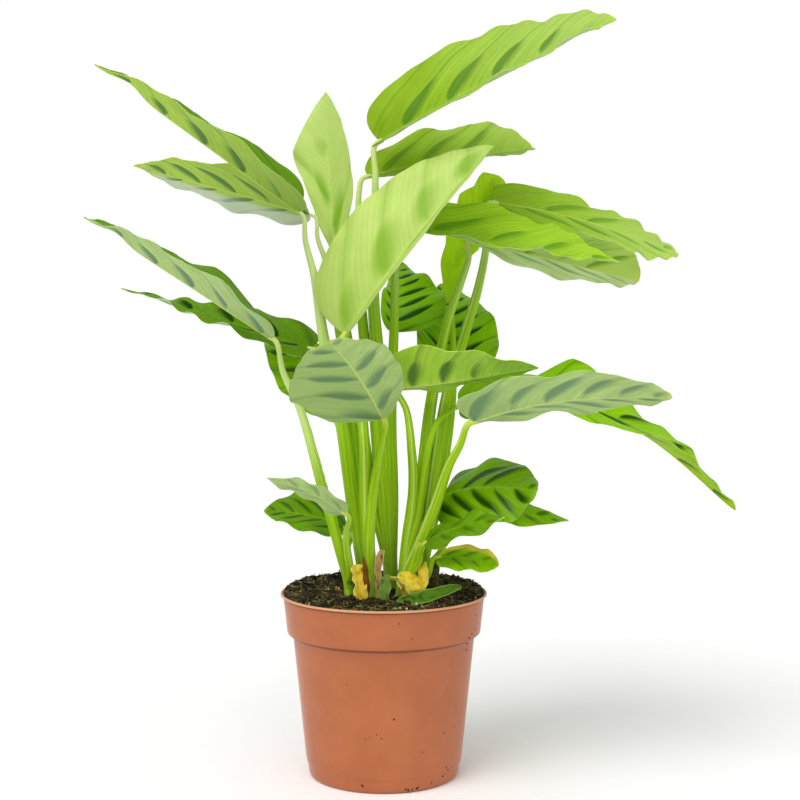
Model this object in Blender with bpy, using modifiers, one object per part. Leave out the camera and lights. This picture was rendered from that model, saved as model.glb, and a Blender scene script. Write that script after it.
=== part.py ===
"""A calathea in a 12 cm nursery pot, in metres, +Z up.

The origin is the centre of the pot's flat base, +X is to the right of the front view and +Y is to the back.
Leaf and stalk places are given in millimetres, as they would be measured on the plant.
"""

import math

import bmesh
import bpy
from mathutils import Vector, noise
from mathutils.bvhtree import BVHTree

MM = 0.001
GAP = 0.0003
MERGE_DISTANCE = 0.00001

# Pot
RIM_RADIUS = 0.060
POT_HEIGHT = 0.1064
LIP_HEIGHT = 0.0030
LIP_THICKNESS = 0.0017
LIP_TOP_ROUNDING = 0.0004
LIP_SIDE_ROUNDING = 0.00045
LIP_UNDERSIDE_SLOPE = 0.0003
BAND_BOTTOM_RADIUS = 0.0563
BAND_BOTTOM_HEIGHT = 0.0840
SHOULDER_RADIUS = 0.0527
SHOULDER_HEIGHT = 0.0810
FOOT_TOP_RADIUS = 0.0457
FOOT_TOP_HEIGHT = 0.0120
FOOT_RADIUS = 0.0440
FOOT_ROUNDING_TOP = 0.0030
FOOT_ROUNDING_BOTTOM = 0.0008
FOOT_ROUNDING_IN = 0.0009
BASE_RADIUS = 0.0415
WALL = 0.0012
FLOOR = 0.0016
FLOOR_CORNER_IN = 0.0016
FLOOR_CORNER_UP = 0.0022
TURNED_STEPS = 48
DRAIN_HOLES = 6
DRAIN_RADIUS = 0.0035
DRAIN_RING_RADIUS = 0.028
DRAIN_SIDES = 12

# Soil
SOIL_FRONT_HEIGHT = 0.1045
SOIL_MOUND = 0.0036
MOUND_START_Y = -0.040
MOUND_LENGTH = 0.070
SOIL_SINK = 0.0012
SINK_START_RADIUS = 0.048
SINK_WIDTH = 0.009
SOIL_CRUMBS = 0.0009
CRUMB_SIZE = 0.006
SOIL_RINGS = 9
SOIL_HOLE_TOP = 0.130

# Shoots: each stands in its own round hole in the soil
CROWN_RADIUS = 0.0055
CROWN_BOTTOM = 0.076
CROWN_TOP = 0.1125
STALK_FOOT = 0.112
STALK_END = 0.0905
CROWN_SIDES = 14
SHOOT_FEET = {
    "shoot_left": (-20, -10),
    "shoot_back_left": (-11, 4),
    "shoot_front_left": (-7, -13),
    "shoot_back_centre": (4, 8),
    "shoot_front_right": (11, -11),
    "shoot_back_right": (18, 3),
}
MOSSY_STUB_FOOT = (28, -10)
MOSSY_STUB_RADIUS = 0.0034
MOSSY_STUB_HEIGHTS = (CROWN_BOTTOM, STALK_FOOT, 0.120, 0.126, 0.129)
MOSSY_STUB_LEANS = (0.0, 0.0, 0.0008, 0.0020, 0.0026)
MOSSY_STUB_WIDTHS = (1.0, 1.0, 1.0, 0.8, 0.45)

# Leaf blades
BLADE_THICKNESS = 0.0008
BLADE_END_HALF_WIDTH = 0.0010
FLAT_UNDER_HALF_WIDTH = 0.0030
BLADE_START = 0.02
RIB_SAMPLE = 0.01
RIPPLE_OFFSET = 2.1
STALK_CLEARANCE = 0.00045
PULVINUS = 0.0040
WIDENED_AFTER = 2 / 3
LARGE_LEAF_ROWS = 10
SMALL_LEAF_ROWS = 8
LEAF_COLUMNS = 4

LEAVES = {}
STALKS = {}


def leaf(
    name,
    base,
    tip,
    width,
    roll=0,
    twist=0,
    arch=8,
    sweep=0,
    crest=0.45,
    fold=(12, 12),
    cup=(10, 10),
    wave=1.5,
    waves=3.0,
    phase=0.0,
    widest=0.42,
    blunt=0.55,
    lobe=5,
    sides=(1.0, 1.0),
    rows=LARGE_LEAF_ROWS,
):
    """One blade, from its base on the stalk to its tip, in millimetres and degrees.

    roll turns it about its length and twist adds turn towards the tip; arch and sweep bow the midrib up and
    sideways, most at crest. fold lifts the left and right half, cup curls them back towards the margin, and
    the margin waves. widest is the place of the greatest width, blunt the fullness of the base, lobe how
    far the base reaches back beside the stalk, and sides the share of the width on the left and right.
    """
    LEAVES[name] = dict(
        base=Vector(base) * MM,
        tip=Vector(tip) * MM,
        half=width * MM / 2,
        roll=math.radians(roll),
        twist=math.radians(twist),
        arch=arch * MM,
        sweep=sweep * MM,
        crest=crest,
        fold=[math.radians(angle) for angle in fold],
        cup=[math.radians(angle) for angle in cup],
        wave=wave * MM,
        waves=waves,
        phase=phase,
        widest=widest,
        blunt=blunt,
        lobe=lobe * MM,
        sides=sides,
        rows=rows,
    )


def stalk(shoot, name, through, top, foot):
    """The stalk of one leaf, through points in millimetres, with its radius at the blade and the foot."""
    points = [Vector(point) * MM for point in through]
    STALKS.setdefault(shoot, []).append((name, points, top * MM, foot * MM))


# Top tier
leaf("leaf_top_right", (-2, 15, 368), (131, -12, 433), 70, roll=52, twist=-4, arch=3.5, sweep=1.5,
     crest=0.42, fold=(26, 44), cup=(10, 5), waves=3.5, widest=0.42, blunt=0.45, lobe=19,
     sides=(1.0, 0.78))
leaf("leaf_second_right", (-9, 30, 349), (91, 62, 369), 54, roll=45, arch=2, fold=(18, 43), cup=(12, 5),
     widest=0.5, blunt=0.5, lobe=9)
leaf("leaf_upright_back", (-29, 34, 299), (-36, 60, 403), 42, roll=-4, arch=-4, fold=(0, 60), cup=(10, 0),
     wave=0.8, widest=0.55, blunt=1.2, lobe=0, sides=(1.08, 0.94))
leaf("leaf_large_centre", (-21, -25, 256), (62, -15, 362), 76, roll=70, arch=6, sweep=-1, crest=0.5,
     fold=(-4, 70), cup=(12, 0), widest=0.4, blunt=0.5, lobe=6, sides=(1.16, 0.72))
leaf("leaf_top_left", (-49, -4, 326), (-154, -54, 401), 54, roll=-10, twist=15, arch=0, fold=(25, 55),
     widest=0.32, blunt=0.37)
leaf("leaf_upper_left", (-44, 24, 326), (-153, 56, 358), 50, roll=35, arch=1, fold=(10, 12), widest=0.4,
     sides=(1.0, 0.82))

# Middle tier
leaf("leaf_middle_left", (-64, -15, 254), (-159, -62, 319), 54, roll=-6, twist=8, arch=0, fold=(24, 41))
leaf("leaf_narrow_left", (-44, 22, 247), (-158, 38, 283), 44, roll=-32, twist=32, arch=0, fold=(18, 24),
     widest=0.25, blunt=0.45, lobe=12, sides=(0.75, 1.2))
leaf("leaf_inner_left", (-22, 32, 213), (-74, 54, 254), 45, roll=-40, arch=4, fold=(8, 8), widest=0.34,
     blunt=0.5, sides=(1.1, 1.0))
leaf("leaf_front_left", (0, -25, 209), (-26, -120, 254), 62, roll=12, twist=10, arch=6, fold=(5, 5),
     widest=0.56, blunt=0.6, lobe=4, sides=(0.78, 1.05))
leaf("leaf_front_centre", (11, -15, 226), (86, -36, 238), 54, roll=-30, arch=-1, fold=(31, 22),
     widest=0.35, blunt=0.42, lobe=15, sides=(1.0, 1.18))
leaf("leaf_front_right", (51, -37, 208), (155, -64, 223), 50, roll=-18, twist=-20, arch=6, fold=(16, 18),
     widest=0.45, blunt=0.37, lobe=13, sides=(0.82, 1.02))
leaf("leaf_drooping_right", (46, 10, 214), (206, 8, 153), 48, roll=55, twist=-60, arch=28, crest=0.44,
     fold=(30, 30), wave=3, waves=2.5, phase=1.57, blunt=0.45, lobe=16)
leaf("leaf_upper_right", (67, 42, 334), (183, 74, 305), 50, roll=28, arch=4, fold=(22, 2), widest=0.41,
     blunt=0.4, lobe=8, sides=(1.06, 1.0))
leaf("leaf_right_centre", (7, 2, 321), (135, -6, 297), 48, roll=32, arch=-3, fold=(44, 28), cup=(10, 0),
     widest=0.38, blunt=0.6, sides=(1.0, 0.8))
leaf("leaf_right_under", (53, 26, 310), (150, 20, 287), 44, roll=-35, arch=1, fold=(20, 16), widest=0.6,
     blunt=0.7, lobe=2, sides=(0.88, 1.1))
leaf("leaf_rolled_right", (40, 34, 274), (74, 70, 350), 20, roll=75, arch=0, sweep=-13, crest=0.5,
     fold=(15, 15), widest=0.5, blunt=0.45, lobe=0)
leaf("leaf_dark_centre", (7, 32, 257), (9, 78, 302), 48, arch=6, widest=0.28, lobe=3, sides=(0.4, 1.25))
leaf("leaf_dark_right", (37, 30, 225), (36, 90, 287), 66, roll=5, arch=6, sides=(0.55, 1.06))

# Low leaves near the pot
leaf("leaf_low_right", (31, -3, 160), (86, -32, 169), 59, roll=34, arch=6, fold=(2, -10), widest=0.47,
     blunt=0.45, lobe=6, sides=(1.08, 0.86))
leaf("leaf_low_right_front", (24, -34, 140), (66, -60, 158), 19, roll=42, arch=3, wave=2, waves=2,
     fold=(6, 6), rows=SMALL_LEAF_ROWS)
leaf("leaf_low_right_back", (39, 8, 149), (107, -2, 148), 22, roll=32, arch=4, wave=2, waves=2,
     rows=SMALL_LEAF_ROWS)
leaf("leaf_yellowing_right", (32, -24, 130), (64, -40, 128), 22, roll=30, arch=2, wave=2,
     rows=SMALL_LEAF_ROWS)
leaf("leaf_low_left_curled", (-22, -36, 157), (-63, -50, 178), 26, roll=22, arch=3, rows=SMALL_LEAF_ROWS)
leaf("leaf_low_left", (-23, 8, 142), (-70, 4, 153), 40, roll=-42, arch=4, fold=(26, 8), sides=(0.8, 1.0),
     rows=SMALL_LEAF_ROWS)
stalk("shoot_left", "leaf_middle_left",
      [(-57, -16, 235), (-47, -17, 213), (-35, -17, 170), (-25, -14, 133)], 1.5, 3.2)
stalk("shoot_left", "leaf_low_left_curled", [(-21, -28, 144), (-19, -16, 119)], 1.1, 2.5)
stalk("shoot_left", "leaf_low_left", [(-23, 0, 125)], 1.2, 2.4)

stalk("shoot_back_left", "leaf_top_left",
      [(-45, -1, 310), (-40, -2, 290), (-34, -5, 252), (-25, -5, 212), (-18, 3, 160)], 1.5, 4.4)
stalk("shoot_back_left", "leaf_upper_left",
      [(-39, 19, 312), (-34, 14, 298), (-25, 4, 252), (-20, 3, 212), (-15, 4, 159)], 1.3, 3.6)
stalk("shoot_back_left", "leaf_narrow_left", [(-36, 14, 226), (-23, 8, 194), (-13, 6, 147)], 1.3, 3.0)
stalk("shoot_back_left", "leaf_inner_left", [(-17, 22, 193), (-13, 14, 158)], 1.4, 3.2)

stalk("shoot_front_left", "leaf_front_left", [(-1, -21, 195), (-5, -18, 172), (-8, -15, 139)], 1.5, 3.2)
stalk("shoot_front_left", "leaf_large_centre", [(-15, -20, 230), (-11, -15, 196), (-10, -13, 156)], 1.8,
      3.6)

stalk("shoot_back_centre", "leaf_top_right",
      [(-5, 11, 350), (-5, 9, 332), (-6, 9, 276), (-1, 8, 218), (2, 8, 171)], 1.4, 4.2)
stalk("shoot_back_centre", "leaf_second_right",
      [(-15, 26, 337), (-15, 20, 311), (-12, 12, 258), (-6, 10, 217), (-2, 8, 171)], 1.3, 3.8)
stalk("shoot_back_centre", "leaf_upright_back", [(-23, 29, 264), (-14, 19, 210), (-6, 12, 158)], 1.4, 3.2)
stalk("shoot_back_centre", "leaf_right_centre", [(6, 9, 305), (6, 10, 264), (4, 9, 206), (5, 8, 159)], 1.5,
      3.4)
stalk("shoot_back_centre", "leaf_dark_centre", [(6, 24, 234), (4, 16, 199), (4, 10, 153)], 1.3, 3.0)

stalk("shoot_front_right", "leaf_front_centre",
      [(13, -12, 213), (16, -10, 190), (17, -10, 167), (13, -10, 135)], 1.4, 3.2)
stalk("shoot_front_right", "leaf_front_right",
      [(43, -33, 195), (37, -28, 183), (29, -21, 158), (20, -14, 134)], 1.5, 3.6)
stalk("shoot_front_right", "leaf_drooping_right",
      [(38, 7, 211), (31, 1, 205), (26, -4, 192), (21, -8, 161)], 1.3, 3.0)
stalk("shoot_front_right", "leaf_low_right_front", [(20, -22, 127)], 1.1, 2.5)
stalk("shoot_front_right", "leaf_yellowing_right", [(24, -17, 117)], 1.0, 2.2)

stalk("shoot_back_right", "leaf_right_under",
      [(50, 24, 301), (45, 22, 285), (37, 21, 261), (28, 16, 217), (23, 4, 177), (18, 2, 136)], 1.5, 3.8)
stalk("shoot_back_right", "leaf_upper_right",
      [(61, 40, 306), (56, 36, 282), (48, 29, 256), (38, 20, 222), (30, 6, 177), (24, 3, 136)], 1.6, 3.8)
stalk("shoot_back_right", "leaf_rolled_right", [(41, 26, 252), (40, 19, 217), (33, 11, 170)], 1.4, 3.2)
stalk("shoot_back_right", "leaf_dark_right", [(35, 20, 199), (32, 12, 158)], 1.4, 3.0)
stalk("shoot_back_right", "leaf_low_right", [(28, -2, 146), (24, 1, 125)], 1.2, 2.6)
stalk("shoot_back_right", "leaf_low_right_back", [(34, 6, 130)], 1.1, 2.4)

# A stalk that was cut off above the soil, from its cut end down
CUT_STALK_SHOOT = "shoot_front_right"
CUT_STALK = [(21, -22, 137), (17, -17, 124)]
CUT_STALK_RADIUS = 3.1

# Old leaves and sheaths at the foot of the plant, laid or leaned on the soil
LITTER = {}
ABOVE_LITTER = 0.3
SOIL_TOP_DEPTH = 0.003


def litter(name, material, **form):
    leaf(name, rows=SMALL_LEAF_ROWS, **form)
    LITTER[name] = material


litter("old_leaf_yellow_left", "old_leaf_yellow", base=(-15, -24, 108), tip=(-15, -20, 127), width=10,
       arch=1, fold=(30, 30), wave=0.8, blunt=0.7, lobe=0)
litter("old_sheath_brown", "old_sheath_brown", base=(-10, -21, 108), tip=(-10, -19, 132), width=4,
       arch=1, fold=(20, 20), wave=0.2, blunt=0.5, lobe=0)
litter("old_sheath_tan", "old_sheath_brown", base=(-2, -22, 108), tip=(-1, -19, 134), width=6,
       arch=1, fold=(35, 35), wave=0.4, blunt=0.5, lobe=0)
litter("young_sheath_green", "sheath_green", base=(1, -28, 108), tip=(1, -25, 119), width=6,
       arch=1, fold=(40, 40), wave=0.4, blunt=0.5, lobe=0)
litter("old_leaf_yellow_curled", "old_leaf_yellow", base=(11, -22, 108), tip=(11, -20, 123), width=13,
       arch=3, fold=(35, 35), wave=1.0, blunt=0.6, lobe=0)
litter("old_leaf_yellow_right", "old_leaf_yellow", base=(23, -22, 108), tip=(24, -20, 127), width=7,
       arch=1, fold=(15, 15), wave=0.6, blunt=0.6, lobe=0)
litter("sheath_crescent_green", "sheath_green", base=(8, -33, 107), tip=(44, -27, 112), width=9,
       roll=20, arch=-3, crest=0.4, fold=(35, 35), wave=0.3, blunt=0.5, lobe=0)


def pot_outer_profile():
    """The outside from the top of the lip down, as (radius, height)."""
    return [
        (RIM_RADIUS - LIP_THICKNESS, POT_HEIGHT),
        (RIM_RADIUS - LIP_TOP_ROUNDING, POT_HEIGHT),
        (RIM_RADIUS, POT_HEIGHT - LIP_SIDE_ROUNDING),
        (RIM_RADIUS, POT_HEIGHT - LIP_HEIGHT),
        (RIM_RADIUS - LIP_THICKNESS, POT_HEIGHT - LIP_HEIGHT - LIP_UNDERSIDE_SLOPE),
        (BAND_BOTTOM_RADIUS, BAND_BOTTOM_HEIGHT),
        (SHOULDER_RADIUS, SHOULDER_HEIGHT),
        (FOOT_TOP_RADIUS, FOOT_TOP_HEIGHT),
        (FOOT_RADIUS, FOOT_ROUNDING_TOP),
        (FOOT_RADIUS - FOOT_ROUNDING_IN, FOOT_ROUNDING_BOTTOM),
        (BASE_RADIUS, 0.0),
    ]


def pot_inner_profile():
    """The inside from the floor up to the lip, a wall's thickness in from the outside."""
    return [
        (FOOT_RADIUS - WALL - FLOOR_CORNER_IN, FLOOR),
        (FOOT_RADIUS - WALL, FLOOR + FLOOR_CORNER_UP),
        (FOOT_TOP_RADIUS - WALL, FOOT_TOP_HEIGHT),
        (SHOULDER_RADIUS - WALL, SHOULDER_HEIGHT),
        (BAND_BOTTOM_RADIUS - WALL, BAND_BOTTOM_HEIGHT),
        (RIM_RADIUS - LIP_THICKNESS - WALL, POT_HEIGHT - LIP_HEIGHT - LIP_UNDERSIDE_SLOPE),
    ]


def new_collection(name, hidden=False):
    collection = bpy.data.collections.new(name)
    bpy.context.scene.collection.children.link(collection)
    collection.hide_render = hidden
    return collection


def make_material(name, color, roughness):
    """A Principled material in one plain colour."""
    material = bpy.data.materials.new(name)
    material.use_nodes = True
    shader = material.node_tree.nodes["Principled BSDF"]
    shader.inputs["Base Color"].default_value = (*color, 1.0)
    shader.inputs["Roughness"].default_value = roughness
    shader.inputs["Metallic"].default_value = 0.0
    return material


def add_mesh_object(name, mesh, collection, material=None):
    obj = bpy.data.objects.new(name, mesh)
    collection.objects.link(obj)
    if material:
        mesh.materials.append(material)
    return obj


def turned(name, profile, collection, material=None):
    """A profile of (radius, height) points turned about the upright axis and made a mesh."""
    bm = bmesh.new()
    verts = [bm.verts.new((radius, 0.0, height)) for radius, height in profile]
    for first, second in zip(verts, verts[1:]):
        bm.edges.new((first, second))
    mesh = bpy.data.meshes.new(name)
    bm.to_mesh(mesh)
    bm.free()
    obj = add_mesh_object(name, mesh, collection, material)
    screw = obj.modifiers.new("Turn", "SCREW")
    screw.steps = TURNED_STEPS
    screw.render_steps = TURNED_STEPS
    screw.use_merge_vertices = True
    screw.merge_threshold = MERGE_DISTANCE
    apply_modifiers(obj)
    return obj


def apply_modifiers(obj):
    """Replaces the object's mesh by the one that its modifiers give."""
    graph = bpy.context.evaluated_depsgraph_get()
    mesh = bpy.data.meshes.new_from_object(obj.evaluated_get(graph))
    old_mesh = obj.data
    obj.modifiers.clear()
    obj.data = mesh
    bpy.data.meshes.remove(old_mesh)


def shade_round(obj, angle=35):
    obj.data.shade_smooth()
    obj.data.set_sharp_from_angle(angle=math.radians(angle))


def cylinder_cutter(name, centre, radius, bottom, top, sides, collection):
    bm = bmesh.new()
    height = top - bottom
    bmesh.ops.create_cone(bm, cap_ends=True, segments=sides, radius1=radius, radius2=radius, depth=height)
    bmesh.ops.translate(bm, verts=bm.verts, vec=(centre[0], centre[1], (bottom + top) / 2))
    mesh = bpy.data.meshes.new(name)
    bm.to_mesh(mesh)
    bm.free()
    cutter = add_mesh_object(name, mesh, collection)
    cutter.hide_render = True
    cutter.display_type = "WIRE"
    return cutter


def cut(obj, cutter):
    modifier = obj.modifiers.new("Cut " + cutter.name, "BOOLEAN")
    modifier.operation = "DIFFERENCE"
    modifier.object = cutter


def make_pot(collection, cutters, material):
    """The thin pot: a turned shell with a lip, a band, a tapered wall and drain holes in its floor."""
    profile = [(0.0, FLOOR), *pot_inner_profile(), *pot_outer_profile(), (0.0, 0.0)]
    pot = turned("pot", profile, collection, material)
    for i in range(DRAIN_HOLES):
        angle = 2 * math.pi * i / DRAIN_HOLES
        centre = (DRAIN_RING_RADIUS * math.cos(angle), DRAIN_RING_RADIUS * math.sin(angle))
        name = f"drain_hole_{i + 1}"
        hole = cylinder_cutter(name, centre, DRAIN_RADIUS, -FLOOR, 2 * FLOOR, DRAIN_SIDES, cutters)
        cut(pot, hole)
    apply_modifiers(pot)
    shade_round(pot)
    return pot


def soil_height(x, y):
    """The soil lies near the rim in front, mounds up behind, sinks a little at the wall and is crumbly."""
    behind = min(1.0, max(0.0, (y - MOUND_START_Y) / MOUND_LENGTH))
    mound = SOIL_MOUND * behind * behind * (3 - 2 * behind)
    at_wall = min(1.0, max(0.0, (math.hypot(x, y) - SINK_START_RADIUS) / SINK_WIDTH))
    crumbs = SOIL_CRUMBS * noise.noise(Vector((x, y, 0.0)) / CRUMB_SIZE)
    return SOIL_FRONT_HEIGHT + mound - SOIL_SINK * at_wall * at_wall + crumbs


def make_soil(collection, cutters, material):
    """The block of soil that fills the pot, with a hole for the foot of each shoot."""
    wall = [(radius - GAP, height + GAP) for radius, height in pot_inner_profile()]
    top_radius = wall[-1][0]
    top = [(top_radius * i / SOIL_RINGS, SOIL_FRONT_HEIGHT) for i in range(SOIL_RINGS + 1)]
    profile = [*top, *reversed(wall[:-1]), (0.0, FLOOR + GAP)]
    soil = turned("soil", profile, collection, material)
    for vert in soil.data.vertices:
        if vert.co.z > SOIL_FRONT_HEIGHT - GAP:
            vert.co.z = soil_height(vert.co.x, vert.co.y)
    holes = [(name, foot, CROWN_RADIUS, CROWN_BOTTOM) for name, foot in SHOOT_FEET.items()]
    holes.append(("old_stub_mossy", MOSSY_STUB_FOOT, MOSSY_STUB_RADIUS, CROWN_BOTTOM))
    for name, foot, radius, bottom in holes:
        centre = (foot[0] * MM, foot[1] * MM)
        hole = cylinder_cutter(
            "hole_" + name, centre, radius + GAP, bottom - GAP, SOIL_HOLE_TOP, CROWN_SIDES, cutters
        )
        cut(soil, hole)
    apply_modifiers(soil)
    return soil


def bump(u, crest):
    """Zero at both ends and one at the crest."""
    power = (1 - crest) / crest
    return u * (1 - u) ** power / (crest * (1 - crest) ** power)


def curl(half, fold, cup, share):
    """How far out and up a cross-section reaches that starts at the fold's slope and curls back evenly."""
    if abs(cup) < 0.001:
        return half * share * math.cos(fold), half * share * math.sin(fold)
    end = fold - 2 * cup * share
    out = half * (math.sin(fold) - math.sin(end)) / (2 * cup)
    up = half * (math.cos(end) - math.cos(fold)) / (2 * cup)
    return out, up


def blade_point(form, u, side):
    """The point of a blade at u along it, 0 at its base, and side across it, -1 to 1."""
    chord = form["tip"] - form["base"]
    forward = chord.normalized()
    right = forward.cross(Vector((0, 0, 1))).normalized()
    above = right.cross(forward)
    mean_roll = form["roll"] + form["twist"] / 2
    bow = (above * math.cos(mean_roll) + right * math.sin(mean_roll)) * form["arch"]
    bow += (right * math.cos(mean_roll) - above * math.sin(mean_roll)) * form["sweep"]

    def rib(place):
        return form["base"] + chord * place + bow * bump(place, form["crest"])

    along = (rib(min(1.0, u + RIB_SAMPLE)) - rib(max(0.0, u - RIB_SAMPLE))).normalized()
    roll = form["roll"] + form["twist"] * u
    across = along.cross(above * math.cos(roll) + right * math.sin(roll)).normalized()
    normal = across.cross(along)

    fore = form["blunt"]
    aft = fore * (1 - form["widest"]) / form["widest"]
    fullest = form["widest"] ** fore * (1 - form["widest"]) ** aft
    share_of_width = u**fore * (1 - u) ** aft / fullest
    half = max(form["half"] * share_of_width, BLADE_END_HALF_WIDTH)
    flat = min(1.0, half / FLAT_UNDER_HALF_WIDTH)

    which = 0 if side < 0 else 1
    margin = abs(side)
    out, up = curl(half * form["sides"][which], form["fold"][which] * flat, form["cup"][which], margin)
    ripple = math.sin(2 * math.pi * form["waves"] * u + form["phase"] + RIPPLE_OFFSET * which)
    up += form["wave"] * margin**2 * ripple * math.sqrt(math.sin(math.pi * u))
    back = form["lobe"] * margin**2 * (1 - u) ** 3 * share_of_width
    return rib(u) + across * math.copysign(out, side) + normal * up - along * back


def make_blade(name, form, collection, material):
    """A flat grid carried onto the leaf's form, split into triangles and given the blade's thickness."""
    bm = bmesh.new()
    bmesh.ops.create_grid(bm, x_segments=LEAF_COLUMNS, y_segments=form["rows"], size=1.0)
    for vert in bm.verts:
        u = 0.5 - 0.5 * math.cos(math.pi * (vert.co.y + 1) / 2)
        vert.co = blade_point(form, min(1.0, max(0.0, u)), vert.co.x)
    bmesh.ops.triangulate(bm, faces=bm.faces)
    mesh = bpy.data.meshes.new(name)
    bm.to_mesh(mesh)
    bm.free()
    blade = add_mesh_object(name, mesh, collection, material)
    solidify = blade.modifiers.new("Thickness", "SOLIDIFY")
    solidify.thickness = BLADE_THICKNESS
    solidify.offset = 0.0
    apply_modifiers(blade)
    shade_round(blade)
    return blade


def smooth_route(points, per_span=2):
    """Points along a curve through the given ones: centripetal Catmull-Rom."""
    ends = [2 * points[0] - points[1], *points, 2 * points[-1] - points[-2]]
    route = []
    for p0, p1, p2, p3 in zip(ends, ends[1:], ends[2:], ends[3:]):
        t1 = math.sqrt((p1 - p0).length)
        t2 = t1 + math.sqrt((p2 - p1).length)
        t3 = t2 + math.sqrt((p3 - p2).length)
        for i in range(per_span):
            t = t1 + (t2 - t1) * i / per_span
            a1 = p0.lerp(p1, t / t1)
            a2 = p1.lerp(p2, (t - t1) / (t2 - t1))
            a3 = p2.lerp(p3, (t - t2) / (t3 - t2))
            route.append(a1.lerp(a2, t / t2).lerp(a2.lerp(a3, (t - t1) / (t3 - t1)), (t - t1) / (t2 - t1)))
    return [*route, points[-1]]


def tube(name, route, radii, collection):
    """A round tube whose radius changes along its route, closed at both ends and made a mesh."""
    data = bpy.data.curves.new(name, "CURVE")
    data.dimensions = "3D"
    data.bevel_depth = 1.0
    data.bevel_resolution = 1
    data.use_fill_caps = True
    spline = data.splines.new("POLY")
    spline.points.add(len(route) - 1)
    for point, place, radius in zip(spline.points, route, radii):
        point.co = (*place, 1.0)
        point.radius = radius
    curve = bpy.data.objects.new(name + "_curve", data)
    collection.objects.link(curve)
    graph = bpy.context.evaluated_depsgraph_get()
    mesh = bpy.data.meshes.new_from_object(curve.evaluated_get(graph))
    bm = bmesh.new()
    bm.from_mesh(mesh)
    bmesh.ops.remove_doubles(bm, verts=bm.verts, dist=MERGE_DISTANCE)
    bmesh.ops.recalc_face_normals(bm, faces=bm.faces)
    bm.to_mesh(mesh)
    bm.free()
    solid = add_mesh_object(name, mesh, collection)
    solid.matrix_world = curve.matrix_world.copy()
    bpy.data.objects.remove(curve)
    return solid


def stalk_tube(name, points, top, foot, centre, collection):
    """A stalk widens towards its sheathing foot, which runs down into the crown."""
    down = [Vector((*centre, STALK_FOOT)), Vector((*centre, STALK_END))]
    route = smooth_route([*points, *down])
    lengths = [0.0]
    for first, second in zip(route, route[1:]):
        lengths.append(lengths[-1] + (second - first).length)
    radii = []
    for length in lengths:
        widening = math.sin(math.pi / 2 * min(1.0, length / (WIDENED_AFTER * lengths[-1])))
        radii.append(top + (foot - top) * widening)
    return tube(name, route, radii, collection)


def union_all(name, first, others, collection):
    """Joins the other objects into the first by one Boolean on their collection, then removes them."""
    modifier = first.modifiers.new("Union", "BOOLEAN")
    modifier.operation = "UNION"
    modifier.operand_type = "COLLECTION"
    modifier.collection = others
    modifier.solver = "EXACT"
    apply_modifiers(first)
    for obj in list(others.objects):
        bpy.data.objects.remove(obj)
    bpy.data.collections.remove(others)
    first.name = name


def make_shoot(name, collection, material):
    """One shoot: its crown in the soil and the stalks that rise from it, fused."""
    foot = SHOOT_FEET[name]
    centre = (foot[0] * MM, foot[1] * MM)
    bm = bmesh.new()
    bmesh.ops.create_cone(
        bm,
        cap_ends=True,
        segments=CROWN_SIDES,
        radius1=CROWN_RADIUS,
        radius2=CROWN_RADIUS,
        depth=CROWN_TOP - CROWN_BOTTOM,
    )
    bmesh.ops.translate(bm, verts=bm.verts, vec=(*centre, (CROWN_TOP + CROWN_BOTTOM) / 2))
    mesh = bpy.data.meshes.new(name)
    bm.to_mesh(mesh)
    bm.free()
    shoot = add_mesh_object(name, mesh, collection, material)
    stalks = new_collection(name + "_stalks")
    for leaf_name, through, top, foot_radius in STALKS[name]:
        form = LEAVES[leaf_name]
        forward = (blade_point(form, BLADE_START, 0.0) - form["base"]).normalized()
        start = [form["base"] - forward * STALK_CLEARANCE, form["base"] - forward * PULVINUS]
        stalk_tube("stalk_of_" + leaf_name, [*start, *through], top, foot_radius, centre, stalks)
    if name == CUT_STALK_SHOOT:
        points = [Vector(point) * MM for point in CUT_STALK]
        stalk_tube("cut_stalk", points, CUT_STALK_RADIUS * MM, CUT_STALK_RADIUS * MM, centre, stalks)
    union_all(name, shoot, stalks, collection)
    shade_round(shoot)
    return shoot


def make_mossy_stub(collection, material):
    """A dead stalk's stub, standing in its own hole."""
    centre = (MOSSY_STUB_FOOT[0] * MM, MOSSY_STUB_FOOT[1] * MM)
    places = zip(MOSSY_STUB_LEANS, MOSSY_STUB_HEIGHTS)
    route = [Vector((centre[0] + lean, centre[1], height)) for lean, height in places]
    radii = [MOSSY_STUB_RADIUS * width for width in MOSSY_STUB_WIDTHS]
    stub = tube("old_stub_mossy", route, radii, collection)
    stub.data.materials.append(material)
    shade_round(stub)
    return stub


def rest_on(piece, ground):
    """Lifts or lowers the piece until it lies just clear of the ground."""
    graph = bpy.context.evaluated_depsgraph_get()
    ground_tree = BVHTree.FromObject(ground, graph)
    piece_tree = BVHTree.FromObject(piece, graph)
    down = Vector((0, 0, -1))
    clear = []
    for vert in piece.data.vertices:
        hit = ground_tree.ray_cast(Vector((vert.co.x, vert.co.y, ABOVE_LITTER)), down)[0]
        if hit:
            clear.append(vert.co.z - hit.z)
    for vert in ground.data.vertices:
        hit = piece_tree.ray_cast(Vector((vert.co.x, vert.co.y, 0.0)), -down)[0]
        if hit and vert.co.z > SOIL_FRONT_HEIGHT - SOIL_TOP_DEPTH:
            clear.append(hit.z - vert.co.z)
    shift = GAP - min(clear)
    for vert in piece.data.vertices:
        vert.co.z += shift


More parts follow.
